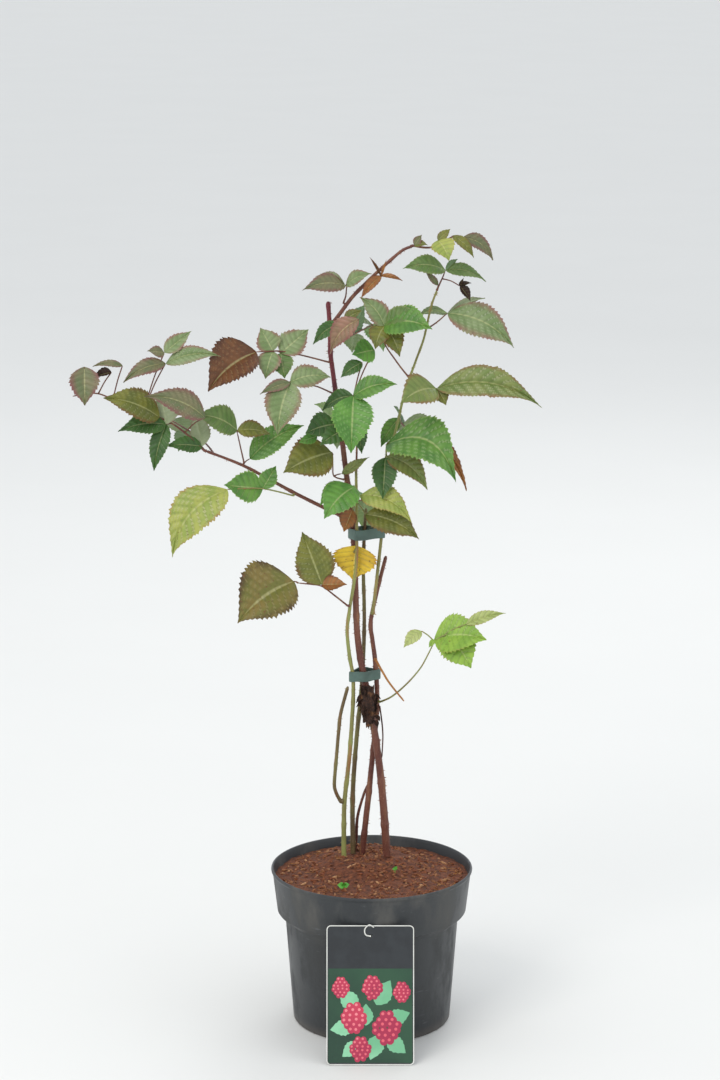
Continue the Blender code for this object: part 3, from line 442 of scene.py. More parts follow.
def potMaterial():
    made, tree, shader = newMaterial("greyPotPlastic", 0.45)
    dust, fine = speckle(tree, 26, 5, 0.65, (1, 1, 0.45)), speckle(tree, 1500, 2)
    scratch = speckle(tree, 300, 3, 0.6, (0.15, 0.15, 1.0))
    place = addNode(tree, "ShaderNodeTexCoord").outputs["Object"]
    high = addNode(tree, "ShaderNodeSeparateXYZ", None, {0: place}).outputs[2]
    colour = twoTone(tree, fine, 0.4, 0.6, "#2b2e31", "#303437")
    film = product(tree, mask(tree, dust, 0.46, 0.72), 0.5)
    nearBand = product(tree, film, mask(tree, high, 0.07, 0.125))
    dusty = product(tree, nearBand, product(tree, film, 0.35), "MAXIMUM")
    colour = mixColour(tree, dusty, colour, hexColour("#6f6d68"))
    colour = overlay(tree, colour, scratch, 0.66, 0.72, 0.35, "#6d7073")
    colour = overlay(tree, colour, high, 0.012, 0.0, 0.4, "#6b625a")  # soiled foot
    rough = product(tree, film, 0.42, "ADD")
    finishMaterial(tree, shader, colour, fine, 0.15, 0.0002, rough)
    return made


def compostMaterial(name, dark, light, chipTone):
    made, tree, shader = newMaterial(name, 0.9)
    tone = bladeParts(tree)[1]
    crumb, fibre = speckle(tree, 260, 5, 0.7), speckle(tree, 700, 3, 0.6, (1, 0.2, 1))
    colour = twoTone(tree, crumb, 0.3, 0.68, dark, light)
    colour = mixColour(tree, tone, colour, hexColour(chipTone))
    colour = overlay(tree, colour, fibre, 0.56, 0.72, 0.45, "#2a140c")
    finishMaterial(tree, shader, colour, crumb, 0.8, 0.0015)
    return made


def plainGrainMaterial(name, base, second, roughness, scale=500, strength=0.2):
    made, tree, shader = newMaterial(name, roughness)
    grain, patch = speckle(tree, scale, 3), speckle(tree, scale / 12, 2)
    colour = twoTone(tree, patch, 0.35, 0.65, base, second)
    colour = overlay(tree, colour, grain, 0.5, 0.7, 0.2, second)
    finishMaterial(tree, shader, colour, grain, strength, 0.0003)
    return made


def crumbleMaterial():
    made, tree, shader = newMaterial("crumbledLeaf", 0.85)
    crumb, patch = speckle(tree, 420, 5, 0.7), speckle(tree, 110, 2)
    colour = twoTone(tree, crumb, 0.35, 0.7, "#1f120c", "#4a2c1c")
    colour = overlay(tree, colour, patch, 0.55, 0.7, 0.7, "#7a5230")
    finishMaterial(tree, shader, colour, crumb, 0.8, 0.001)
    return made


print("materials")
looks = {"redBark": barkMaterial("redBark", "#6e4030", "#5a2c22", "#94683f"),
         "purpleBark": barkMaterial("purpleBark", "#6a1f2c", "#54182a", "#8a4038"),
         "greenBark": barkMaterial("greenBark", "#8a9150", "#78733e", "#9a5a3a"),
         "oliveBark": barkMaterial("oliveBark", "#6f6a3a", "#5c4a2c", "#7a4a30"),
         "dryWood": barkMaterial("dryWood", "#a06b32", "#8a5526", "#c08a50", 0.7),
         "darkWood": barkMaterial("darkWood", "#4a2018", "#34140e", "#6a3826", 0.7),
         "prickle": prickleMaterial(), "pot": potMaterial(),
         "compost": compostMaterial("compost", "#3c1e12", "#7a4428", "#8a5530"),
         "chip": compostMaterial("barkChip", "#5a2c18", "#8a4c2a", "#c29468"),
         "tie": plainGrainMaterial("tieBand", "#526a62", "#42564f", 0.45, 600),
         "card": plainGrainMaterial("cardStock", "#26292c", "#2c3033", 0.3, 900, 0.05),
         "cardEdge": plainGrainMaterial("cardEdge", "#e8e8e2", "#d8d8d0", 0.4, 900, 0.05),
         "printDark": plainGrainMaterial("printDark", "#20402f", "#2a5038", 0.28, 240, 0.03),
         "printLeaf": plainGrainMaterial("printLeaf", "#8fcfa5", "#6fb488", 0.28, 240, 0.03),
         "printBerry": plainGrainMaterial("printBerry", "#c83a55", "#a82a4c", 0.28, 300, 0.03),
         "printShine": plainGrainMaterial("printShine", "#ee8a92", "#e0606e", 0.28, 300, 0.03),
         "cord": plainGrainMaterial("whiteCord", "#e6e6e0", "#cfcfc8", 0.5, 2000),
         "weed": plainGrainMaterial("weedLeaf", "#5fae3a", "#4a9430", 0.45, 500),
         "crumble": crumbleMaterial()}
for tintName, tint in leafTints.items():
    looks["leaf_" + tintName] = leafMaterial(tintName, tint)


# batches: many small shapes gathered in one mesh, each in its own cell of the bake map. "blade" holds three
# values for each point: on leaves how far out, how far from a vein and whether below, on prickles how near
# the tip and how green, and on chips their paleness
def newBatch():
    return {"points": [], "faces": [], "spots": [], "slots": [], "blade": [], "cells": 0}


def addFace(batch, corners, cell, spots, slot=0):
    batch["faces"].append(corners)
    batch["spots"].append([(cell, u, v) for u, v in spots])
    batch["slots"].append(slot)


def newCell(batch):
    batch["cells"] += 1
    return batch["cells"] - 1


def makePiece(name, batch, materials, nodes=(), smoothAngle=60):
    mesh = bpy.data.meshes.new(name)
    mesh.from_pydata([tuple(mm * c for c in p) for p in batch["points"]], [], batch["faces"])
    for kind in materials:
        mesh.materials.append(looks[kind])
    mesh.polygons.foreach_set("material_index", batch["slots"])
    side = max(1, math.ceil(math.sqrt(batch["cells"])))
    room, margin = 1 / side, 0.05
    flat = []
    for spots in batch["spots"]:
        for cell, u, v in spots:
            flat += [room * (cell % side + margin + (1 - 2 * margin) * u),
                     room * (cell // side + margin + (1 - 2 * margin) * v)]
    mesh.uv_layers.new(name="OFBake").data.foreach_set("uv", flat)
    blade = batch["blade"] or [(0.0, 0.0, 0.0)] * len(batch["points"])
    values = mesh.attributes.new("blade", "FLOAT_VECTOR", "POINT")
    values.data.foreach_set("vector", [c for p in blade for c in p])
    mesh.validate()
    piece = bpy.data.objects.new(name, mesh)
    bpy.context.scene.collection.objects.link(piece)
    mesh.shade_smooth()
    mesh.set_sharp_from_angle(angle=math.radians(smoothAngle))
    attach(piece, "root")
    if nodes:
        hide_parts(*nodes)
    return piece


def camel(text, tail):
    first, *rest = text.split("_")
    return first + "".join(w.capitalize() for w in rest) + tail


def circle(count):
    # the unit circle in equal steps
    turns = [2 * math.pi * k / count for k in range(count)]
    return [(math.cos(turn), math.sin(turn)) for turn in turns]


def openWhole(piece):
    # edit mode, with all of this piece selected and nothing else
    bpy.ops.object.select_all(action="DESELECT")
    bpy.context.view_layer.objects.active = piece
    piece.select_set(True)
    bpy.ops.object.mode_set(mode="EDIT")
    bpy.ops.mesh.select_all(action="SELECT")


# paths, and how a limb or spray is seated on another
def smoothPath(places, step):
    knots = [Vector(p) for p in places]
    padded = [2 * knots[0] - knots[1]] + knots + [2 * knots[-1] - knots[-2]]
    path = [knots[0]]
    for a, b, c, d in zip(padded, padded[1:], padded[2:], padded[3:]):
        pieces = max(1, round((c - b).length / step))
        for i in range(1, pieces + 1):
            t = i / pieces
            path.append(0.5 * (2 * b + (c - a) * t + (2 * a - 5 * b + 4 * c - d) * t * t
                               + (3 * b - a - 3 * c + d) * t ** 3))
    return path


def nearestOn(limb, place):
    path, thick = limb
    best = None
    for i, (a, b) in enumerate(zip(path, path[1:])):
        share = max(0.0, min(1.0, (place - a).dot(b - a) / (b - a).length_squared))
        spot = a + share * (b - a)
        if best is None or (place - spot).length < (place - best[0]).length:
            best = (spot, (i + share) / (len(path) - 1))
    spot, along = best
    return spot, 0.5 * (thick[0] + (thick[1] - thick[0]) * along)


def seated(places, limb):
    first = Vector(places[0])
    spot, radius = nearestOn(limb, first)
    outward = (first - spot).normalized()
    tip, before = limb[0][-1], limb[0][-2]
    if (spot - tip).length < seatGap:
        outward, radius = (tip - before).normalized(), 0.0
    foot = spot + (radius - 0.4) * outward  # sunk a little in the bark, so that no gap shows
    return [foot, foot + (seatLength + seatGap + 0.4) * outward] + list(places[1:])


def barkTube(batch, path, thick, sides, chance, relief=0.07, flatFoot=False, nodesEvery=0):
    # a tube with ridges, swellings at its nodes and a domed tip
    lengths = [0.0]
    for a, b in zip(path, path[1:]):
        lengths.append(lengths[-1] + (b - a).length)
    seed = chance.uniform(0, 50)
    across, rings, skin = Vector((1, 0.2, 0.1)), [], []
    for i, place in enumerate(path):
        along = (path[min(i + 1, len(path) - 1)] - path[max(i - 1, 0)]).normalized()
        if flatFoot and i == 0:
            along = Vector((0, 0, 1))
        across = (across - across.dot(along) * along).normalized()
        other = along.cross(across)
        radius = 0.5 * (thick[0] + (thick[1] - thick[0]) * lengths[i] / lengths[-1])
        swell = 1.0
        if nodesEvery:
            off = (lengths[i] + seed) % nodesEvery - nodesEvery / 2
            swell += 0.16 * math.exp(-(off / 3.0) ** 2)
        if not flatFoot:
            swell += 0.5 * math.exp(-lengths[i] / 2.2)
        if i == len(path) - 1:
            swell *= 0.55
        ring = []
        for x, y in circle(sides):
            rough = noise.noise(Vector((2.2 * x + seed, 2.2 * y, 0.06 * lengths[i])))
            fine = noise.noise(Vector((5 * x, 5 * y + seed, 0.35 * lengths[i])))
            reach = radius * swell * (1 + relief * (rough + 0.5 * fine))
            ring.append(len(batch["points"]))
            batch["points"].append(place + reach * (x * across + y * other))
            batch["blade"].append((0.0, 0.0, 0.0))
        rings.append(ring)
        skin.append((place, along, across, other, radius * swell))
    cell, cellRings = None, 18  # rings that share one cell of the bake map
    for i, (low, high) in enumerate(zip(rings, rings[1:])):
        if i % cellRings == 0:
            cell = newCell(batch)
        v, above = (i % cellRings) / cellRings, (i % cellRings + 1) / cellRings
        for k in range(sides):
            m = (k + 1) % sides
            u, right = k / sides, (k + 1) / sides
            addFace(batch, (low[k], low[m], high[m], high[k]), cell,
                    [(u, v), (right, v), (right, above), (u, above)])
    for ring in (rings[0][::-1], rings[-1]):
        addFace(batch, tuple(ring), newCell(batch), [(0.5 + 0.5 * x, 0.5 + 0.5 * y) for x, y in circle(sides)])
    return skin


def addPrickle(batch, foot, way, length, wide, green):
    side = way.cross(Vector((0.3, 0.2, 1))).normalized()
    other = way.cross(side)
    tip = foot + length * way - Vector((0, 0, 0.3 * length))
    start = len(batch["points"])
    for x, y in circle(4):  # a foot that is higher than it is wide
        batch["points"].append(foot - 0.3 * way + wide * (x * side + 1.5 * y * other))
        batch["blade"].append((0.0, green, 0.0))
    batch["points"].append(tip)
    batch["blade"].append((1.0, green, 0.0))
    cell = newCell(batch)
    corner = [(0, 0), (1, 0), (1, 1), (0, 1)]
    for k in range(4):
        m = (k + 1) % 4
        addFace(batch, (start + m, start + k, start + 4), cell, [corner[m], corner[k], (0.5, 0.5)])
    cell = newCell(batch)
    addFace(batch, (start, start + 1, start + 2, start + 3), cell, corner)


# limbs
limbDetail = {"step": 2.2, "sides": 20, "nodeSpacing": 42.0, "purpleFrom": 585.0,
              "twig": 2.5, "twigSides": 10}  # limbs this thin have fewer sides and no swellings
grown = {}
prickles = newBatch()
chance = random.Random(5)
for name, spec in limbs.items():
    places = seated(spec["through"], grown[spec["on"]]) if "on" in spec else spec["through"]
    coarse = smoothPath(places, caneStep)
    grown[name] = (coarse, spec["thick"])
    fine = smoothPath(coarse, limbDetail["step"])
    kind, density, longest = barkLooks[name]
    batch = newBatch()
    sides, spacing = limbDetail["twigSides"], 0
    if spec["thick"][0] > limbDetail["twig"]:
        sides, spacing = limbDetail["sides"], limbDetail["nodeSpacing"]
    skin = barkTube(batch, fine, spec["thick"], sides, chance, flatFoot="on" not in spec, nodesEvery=spacing)
    kinds = [kind]
    if name == "main_cane":  # its upper stretch and cut top are purple-red
        kinds.append("purpleBark")
        for i, face in enumerate(batch["faces"]):
            if batch["points"][face[0]].z > limbDetail["purpleFrom"]:
                batch["slots"][i] = 1
    makePiece(camel(name, "Bark"), batch, kinds, [name])
    total = sum((b[0] - a[0]).length for a, b in zip(skin, skin[1:]))
    for n in range(int(total * density)):
        place, along, across, other, radius = skin[int(chance.random() * (len(skin) - 1))]
        place = place + chance.uniform(0, limbDetail["step"]) * along
        turn = chance.uniform(0, 2 * math.pi)
        way = math.cos(turn) * across + math.sin(turn) * other
        length = longest * chance.uniform(0.45, 1.0)
        addPrickle(prickles, place + 0.95 * radius * way, way, length, 0.09 * length + 0.08,
                   0.0 if kind == "redBark" else 0.7)
print("limbs")


# leaf sprays
bladeDetail = {"rows": 56, "columns": 6, "smallLength": 22, "smallRows": 30,
               "toothSpacing": 3.6, "toothSize": 0.13, "smallTooth": 0.04, "toothPoint": 0.012,
               "veinSpacing": 6, "veinPitch": 1.15, "veinSlant": 0.16, "pleat": 0.022, "midribDepth": 0.012,
               "wave": 0.018, "thickness": 0.3, "fullness": 1.12}


def bladeWidth(share):
    # widest near the stalk, narrowing to a point
    return max(0.02, math.sin(math.pi * share ** 0.68)) * (1 - 0.30 * max(0.0, share - 0.72) / 0.28)


def addBlade(batch, hub, size, fold, slot, chance, curled):
    length, heading, lean, breadth, arch = size
    turn, tilt = math.radians(heading), math.radians(lean)
    along = Vector((math.cos(turn) * math.cos(tilt), math.sin(tilt), math.sin(turn) * math.cos(tilt)))
    front = 1 if lean > backFacingLean else -1
    facing = Vector((0, front * math.cos(bladeTilt), math.sin(bladeTilt)))
    normal = (facing - facing.dot(along) * along).normalized()
    side = normal.cross(along)
    upward = Vector((0, 0, 1)) - along.z * along
    rise = upward.normalized() if upward.length > 0.3 else normal
    detail = bladeDetail
    rows, columns = detail["smallRows" if length < detail["smallLength"] else "rows"], detail["columns"]
    teeth = max(6, round(length / detail["toothSpacing"]))
    veins = max(5, min(9, round(length / detail["veinSpacing"])))
    wave, droop = chance.uniform(0, 6.28), chance.uniform(0.02, 0.06)
    skew = chance.uniform(-0.03, 0.03)
    index = {}
    for under in (0, 1):
        for i in range(rows + 1):
            share = i / rows
            middle = hub + length * share * along + 4 * arch * length * share * (1 - share) * rise
            reach = 0.5 * detail["fullness"] * breadth * length * bladeWidth(share)
            phase = (share * teeth) % 1.0
            tooth = detail["toothSize"] * (phase ** 1.3 - 0.45)
            tooth += detail["smallTooth"] * ((2 * share * teeth) % 1.0 - 0.5)
            for j in range(-columns, columns + 1):
                u = j / columns
                rim = abs(j) == columns or i in (0, rows)
                if under and rim:
                    index[(1, i, j)] = index[(0, i, j)]
                    continue
                toRim = abs(u) ** 5
                lateral = u * reach * (0.97 + tooth * toRim)
                forward = detail["toothPoint"] * length * phase * toRim
                frac = ((share - detail["veinSlant"] * abs(u)) * veins * detail["veinPitch"]) % 1.0
                puff = detail["pleat"] * length * math.sin(math.pi * frac) * min(1.0, 5 * abs(u))
                puff *= (1 - 0.6 * toRim) * min(1.0, 6 * share, 5 * (1 - share) + 0.1)
                lift = (fold + curled) * reach * abs(u) ** 1.4 + puff
                lift -= detail["midribDepth"] * length * math.exp(-(u / 0.13) ** 2)
                sway = math.sin(7 * share + wave + (2.4 if u > 0 else 0))
                lift += detail["wave"] * length * abs(u) * sway
                lift -= droop * length * share ** 3 + curled * 0.3 * length * share ** 3
                spot = middle + (lateral + skew * length * share ** 2) * side + forward * along + lift * normal
                if under:
                    thick = detail["thickness"] * (0.5 + 1.6 * math.exp(-(u / 0.1) ** 2))
                    spot = spot - thick * normal
                index[(under, i, j)] = len(batch["points"])
                batch["points"].append(spot)
                toVein = min(frac, 1 - frac) if abs(u) < 0.97 else 0.3  # veins stop at the rim
                batch["blade"].append((abs(u), toVein, float(under)))
    for under in (0, 1):
        cell = newCell(batch)
        for i in range(rows):
            for j in range(-columns, columns):
                corners = [index[(under, i, j)], index[(under, i, j + 1)],
                           index[(under, i + 1, j + 1)], index[(under, i + 1, j)]]
                a, b = (j + columns) / (2 * columns), (j + 1 + columns) / (2 * columns)
                spots = [(a, i / rows), (b, i / rows), (b, (i + 1) / rows), (a, (i + 1) / rows)]
                if under:
                    corners, spots = corners[::-1], spots[::-1]
                addFace(batch, tuple(corners), cell, spots, slot)


greenStalks = ("right_middle_spray", "low_centre_spray", "lower_right_spray", "hanging_spray",
               "long_right_spray", "yellow_leaf")
curlOf = {"dried": 0.9, "rust": 0.35, "brownRed": 0.35, "brownOlive": 0.35}
stalkPrickles = {"density": 0.7, "shortest": 0.5, "longest": 1.2, "wide": 0.12, "green": 0.3}
folds = random.Random(foldSeed)
chance = random.Random(8)
for name, spec in sprays.items():
    path = smoothPath(seated(spec["stem"], grown[spec["on"]]), twigStep)
    stalks, blades = newBatch(), newBatch()
    stemSkin = barkTube(stalks, smoothPath(path, 2.5), spec["thick"], 8, chance, 0.05)
    tints = sprayTints.get(name, backTints)
    kinds = list(dict.fromkeys("leaf_" + t for t in tints))
    leafCount = 0
    for hub, *leaflets in spec["leaves"]:
        hub = Vector(hub)
        start = min(path, key=lambda p: (p - hub).length)
        if (start - hub).length > 0.5:
            bow = (start + hub) / 2 + Vector((0, 0, 0.06 * (hub - start).length))
            barkTube(stalks, smoothPath([start, bow, hub], 2.0), (spec["thick"][1],) * 2, 7, chance, 0.05)
        for size in leaflets:
            fold = folds.uniform(0.02, 0.2)
            tintName = tints[leafCount % len(tints)]
            leafCount += 1
            slot = kinds.index("leaf_" + tintName)
            addBlade(blades, hub, size, fold, slot, chance, curlOf.get(tintName, 0.0))
    total = sum((b[0] - a[0]).length for a, b in zip(stemSkin, stemSkin[1:]))
    for n in range(int(stalkPrickles["density"] * total)):
        place, along, across, other, radius = stemSkin[int(chance.random() * (len(stemSkin) - 1))]
        turn = chance.uniform(0, 2 * math.pi)
        way = math.cos(turn) * across + math.sin(turn) * other
        length = chance.uniform(stalkPrickles["shortest"], stalkPrickles["longest"])
        addPrickle(prickles, place + 0.9 * radius * way, way, length, stalkPrickles["wide"],
                   stalkPrickles["green"])
    makePiece(camel(name, "Leaves"), blades, kinds, [name], 50)
    kind = "greenBark" if name in greenStalks else "redBark"
    makePiece(camel(name, "Stalks"), stalks, [kind])
makePiece("prickles", prickles, ["prickle"], (), 30)
print("leaf sprays")


# pot
potSize = {"rim": 95.0, "height": 149.2, "bandDrop": 41.5, "bandFoot": 89.2, "stepRadius": 81.8,
           "stepHeight": 101.5, "foot": 74.6, "wall": 1.7, "floor": 2.0, "holes": 6, "holeRing": 50.0,
           "holeRadius": 4.5}


def makePot():
    s = potSize
    top, band, wall = s["height"], s["height"] - s["bandDrop"], s["wall"]
    profile = [(0, 0), (s["foot"] - 4, 0), (s["foot"] - 1.4, 0.5), (s["foot"] - 0.2, 2.2),
               (s["stepRadius"] - 0.2, s["stepHeight"] - 1.2), (s["stepRadius"] + 0.6, s["stepHeight"] + 0.4),
               (s["bandFoot"] - 1.0, band - 0.8), (s["bandFoot"], band + 0.6),
               (s["rim"] - 1.5, top - 5), (s["rim"] - 1.0, top - 3.4), (s["rim"] - 0.2, top - 2.6),
               (s["rim"], top - 1.6), (s["rim"] - 0.3, top - 0.5), (s["rim"] - 1.0, top),
               (s["rim"] - 1.8, top - 0.2), (s["rim"] - 1.4 - wall, top - 2.5),
               (s["bandFoot"] - wall, band + 1.4), (s["stepRadius"] - wall, s["stepHeight"] + 1.2),
               (s["foot"] - wall, s["floor"] + 1), (s["foot"] - wall - 1.5, s["floor"]), (0, s["floor"])]
    mesh = bpy.data.meshes.new("potShell")
    edges = [(i, i + 1) for i in range(len(profile) - 1)]
    mesh.from_pydata([(r * mm, 0, z * mm) for r, z in profile], edges, [])
    pot = bpy.data.objects.new("potShell", mesh)
    bpy.context.scene.collection.objects.link(pot)
    openWhole(pot)
    bpy.ops.mesh.spin(steps=128, angle=2 * math.pi, center=(0, 0, 0), axis=(0, 0, 1))
    bpy.ops.mesh.select_all(action="SELECT")
    bpy.ops.mesh.remove_doubles(threshold=0.00005)
    bpy.ops.mesh.normals_make_consistent(inside=False)
    bpy.ops.object.mode_set(mode="OBJECT")
    ring = s["holeRing"] * mm
    for x, y in circle(s["holes"]):
        bpy.ops.mesh.primitive_cylinder_add(
            vertices=24, radius=s["holeRadius"] * mm, depth=0.01, location=(ring * x, ring * y, 0.001))
        drill = bpy.context.object
        cut = pot.modifiers.new("drain", "BOOLEAN")
        cut.operation = "DIFFERENCE"
        cut.object = drill
        bpy.context.view_layer.objects.active = pot
        bpy.ops.object.modifier_apply(modifier=cut.name)
        bpy.data.objects.remove(drill)
    pot.data.materials.append(looks["pot"])
    pot.data.shade_smooth()
    pot.data.set_sharp_from_angle(angle=math.radians(38))
    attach(pot, "root")
    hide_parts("pot")


makePot()


# compost: a heap with bark chips and fibres on it
heap = {"edge": 140.5, "top": 150.0, "centre": (-6.0, 30.0), "flat": 29.0, "foot": 62.0, "radius": 91.4,
        "rings": 44, "steps": 120, "under": ((88.8, 122.0), (40.0, 121.0)),  # its hidden underside
        "chips": 760, "chipReach": 86, "fibres": 170, "fibreReach": 84}


def heapHeight(x, y):
    reach = math.hypot(x - heap["centre"][0], y - heap["centre"][1])
    share = min(1.0, max(0.0, (heap["foot"] - reach) / (heap["foot"] - heap["flat"])))
    share = share * share * (3 - 2 * share)
    lumps = 1.6 * noise.noise(Vector((0.11 * x, 0.11 * y, 3)))
    lumps += 0.8 * noise.noise(Vector((0.4 * x, 0.4 * y, 7)))
    return heap["edge"] + (heap["top"] - heap["edge"]) * share - 0.6 + lumps


def makeCompost():
    batch = newBatch()
    rings, steps = heap["rings"], heap["steps"]
    for r in range(1, rings + 1):
        radius = heap["radius"] * r / rings
        spots = [(radius * x, radius * y) for x, y in circle(steps)]
        batch["points"] += [Vector((x, y, heapHeight(x, y))) for x, y in spots]
    for radius, z in heap["under"]:
        batch["points"] += [Vector((radius * x, radius * y, z)) for x, y in circle(steps)]
    batch["points"] += [Vector((0, 0, heapHeight(0, 0))), Vector((0, 0, heap["under"][1][1]))]
    top, bottom = len(batch["points"]) - 2, len(batch["points"]) - 1
    cells = [newCell(batch) for n in range(4)]

    def flat(i):
        p = batch["points"][i]
        return (0.5 + 0.5 * p.x / 95, 0.5 + 0.5 * p.y / 95)

    for k in range(steps):
        m = (k + 1) % steps
        addFace(batch, (top, k, m), cells[0], [flat(top), flat(k), flat(m)])
        for r in range(rings + 1):
            a, b = r * steps + k, r * steps + m
            face = (a, a + steps, b + steps, b)
            if r < rings - 1:
                addFace(batch, face, cells[0], [flat(i) for i in face])
            elif r == rings - 1:
                u, v = k / steps, (k + 1) / steps
                addFace(batch, face, cells[1], [(u, 0), (u, 1), (v, 1), (v, 0)])
            else:
                addFace(batch, face, cells[2], [flat(i) for i in face])
        a, b = (rings + 1) * steps + k, (rings + 1) * steps + m
        addFace(batch, (a, bottom, b), cells[3], [flat(a), flat(bottom), flat(b)])
    makePiece("compostHeap", batch, ["compost"], ["soil"])


def makeChips(chance):
    batch = newBatch()
    for n in range(heap["chips"]):
        turn, radius = chance.uniform(0, 2 * math.pi), heap["chipReach"] * math.sqrt(chance.random())
        x, y = radius * math.cos(turn), radius * math.sin(turn)
        long, wide = chance.uniform(2.0, 7.5), chance.uniform(1.2, 3.6)
        thick, spin = chance.uniform(0.6, 1.8), chance.uniform(0, 6.28)
        lean = Vector((chance.gauss(0, 0.35), chance.gauss(0, 0.35), 1)).normalized()
        right = Vector((math.cos(spin), math.sin(spin), 0))
        right = (right - right.dot(lean) * lean).normalized()
        back = lean.cross(right)
        middle = Vector((x, y, heapHeight(x, y) + 0.3 * thick))
        count = chance.choice((6, 7, 8))
        tone = chance.choice((0.0, 0.1, 0.2, 0.3, 0.5, 0.9)) * chance.random()
        start = len(batch["points"])
        ways, outline = circle(count), []
        for x, y in ways:
            outline.append(0.5 * chance.uniform(0.7, 1.1) * (long * x * right + wide * y * back))
        for height, shrink in ((-0.5, 0.9), (0.25, 1.0), (0.5, 0.8)):
            for spot in outline:
                rise = height * thick + chance.uniform(-0.12, 0.12)
                batch["points"].append(middle + shrink * spot + rise * lean)
                batch["blade"].append((0.0, tone, 0.0))
        upper, lower = newCell(batch), newCell(batch)

        def ringSpot(k, size):
            return (0.5 + size * ways[k][0], 0.5 + size * ways[k][1])

        for k in range(count):
            m = (k + 1) % count
            for level, (outer, inner) in enumerate(((0.5, 0.42), (0.42, 0.32))):
                a, b = start + level * count + k, start + level * count + m
                addFace(batch, (a, b, b + count, a + count), upper,
                        [ringSpot(k, outer), ringSpot(m, outer), ringSpot(m, inner), ringSpot(k, inner)])
        addFace(batch, tuple(start + 2 * count + k for k in range(count)), upper,
                [ringSpot(k, 0.32) for k in range(count)])
        addFace(batch, tuple(start + k for k in reversed(range(count))), lower,
                [ringSpot(k, 0.45) for k in reversed(range(count))])
    makePiece("barkChips", batch, ["chip"], (), 25)


def makeFibres(chance):
    fibres = newBatch()
    for n in range(heap["fibres"]):
        turn, radius = chance.uniform(0, 2 * math.pi), heap["fibreReach"] * math.sqrt(chance.random())
        x, y = radius * math.cos(turn), radius * math.sin(turn)
        spin, long = chance.uniform(0, 6.28), chance.uniform(3, 10)
        ends = []
        for t in (-0.5, 0.0, 0.5):
            px = x + t * long * math.cos(spin) + chance.uniform(-0.8, 0.8)
            py = y + t * long * math.sin(spin) + chance.uniform(-0.8, 0.8)
            px, py = (min(88 / max(1, math.hypot(px, py)), 1.0) * c for c in (px, py))
            ends.append((px, py, heapHeight(px, py) + chance.uniform(0.4, 2.0)))
        barkTube(fibres, smoothPath(ends, 2.0), (0.45, 0.25), 5, chance, 0.1)
    makePiece("compostFibres", fibres, ["dryWood"])


# seedling weeds: where each stands, and its leaves' length, heading and lean
weeds = (((-26, -44), ((7, 160, 20), (6, 30, 15), (5, 95, 30))), ((22, -8), ((4, 60, 10), (3, 150, 10))))


def makeWeeds():
    chance = random.Random(3)
    batch = newBatch()
    for foot, leaves in weeds:
        z = heapHeight(*foot)
        top = Vector((*foot, z + 4))
        barkTube(batch, smoothPath([(*foot, z - 1), top], 1.0), (0.7, 0.5), 6, chance, 0.02)
        for length, heading, lean in leaves:
            addBlade(batch, top, (length, heading, -lean, 0.85, 0.05), 0.1, 0, chance, 0.0)
    makePiece("seedlingWeeds", batch, ["weed"])


makeCompost()
chance = random.Random(21)
makeChips(chance)
makeFibres(chance)
makeWeeds()
print("pot and compost")


# ties, drawn in round the canes
tieSize = {"height": 9.6, "wall": 1.0, "steps": 96, "clear": 0.3, "low": 331.0, "high": 469.0,
           "overlap": (60, 76),  # steps where the band's end lies on top of it
           "limbs": ("main_cane", "middle_cane", "left_cane", "back_cane", "right_shoot", "left_fork")}


def limbAt(name, z):
    path, thick = grown[name]
    for i, (a, b) in enumerate(zip(path, path[1:])):
        if a.z <= z <= b.z:
            share = (z - a.z) / (b.z - a.z)
            along = (i + share) / (len(path) - 1)
            return a + share * (b - a), 0.5 * (thick[0] + (thick[1] - thick[0]) * along)
    return None


def hullOf(points):
    # the points that a cord drawn tight round them all would touch, in order
    points = sorted(points)
    chain = []
    for run in (points, points[::-1]):
        start = len(chain)
        for p in run:
            while len(chain) - start >= 2:
                (ax, ay), (bx, by) = chain[-2], chain[-1]
                if (bx - ax) * (p[1] - ay) - (by - ay) * (p[0] - ax) > 0:
                    break
                chain.pop()
            chain.append(p)
        chain.pop()
    return chain


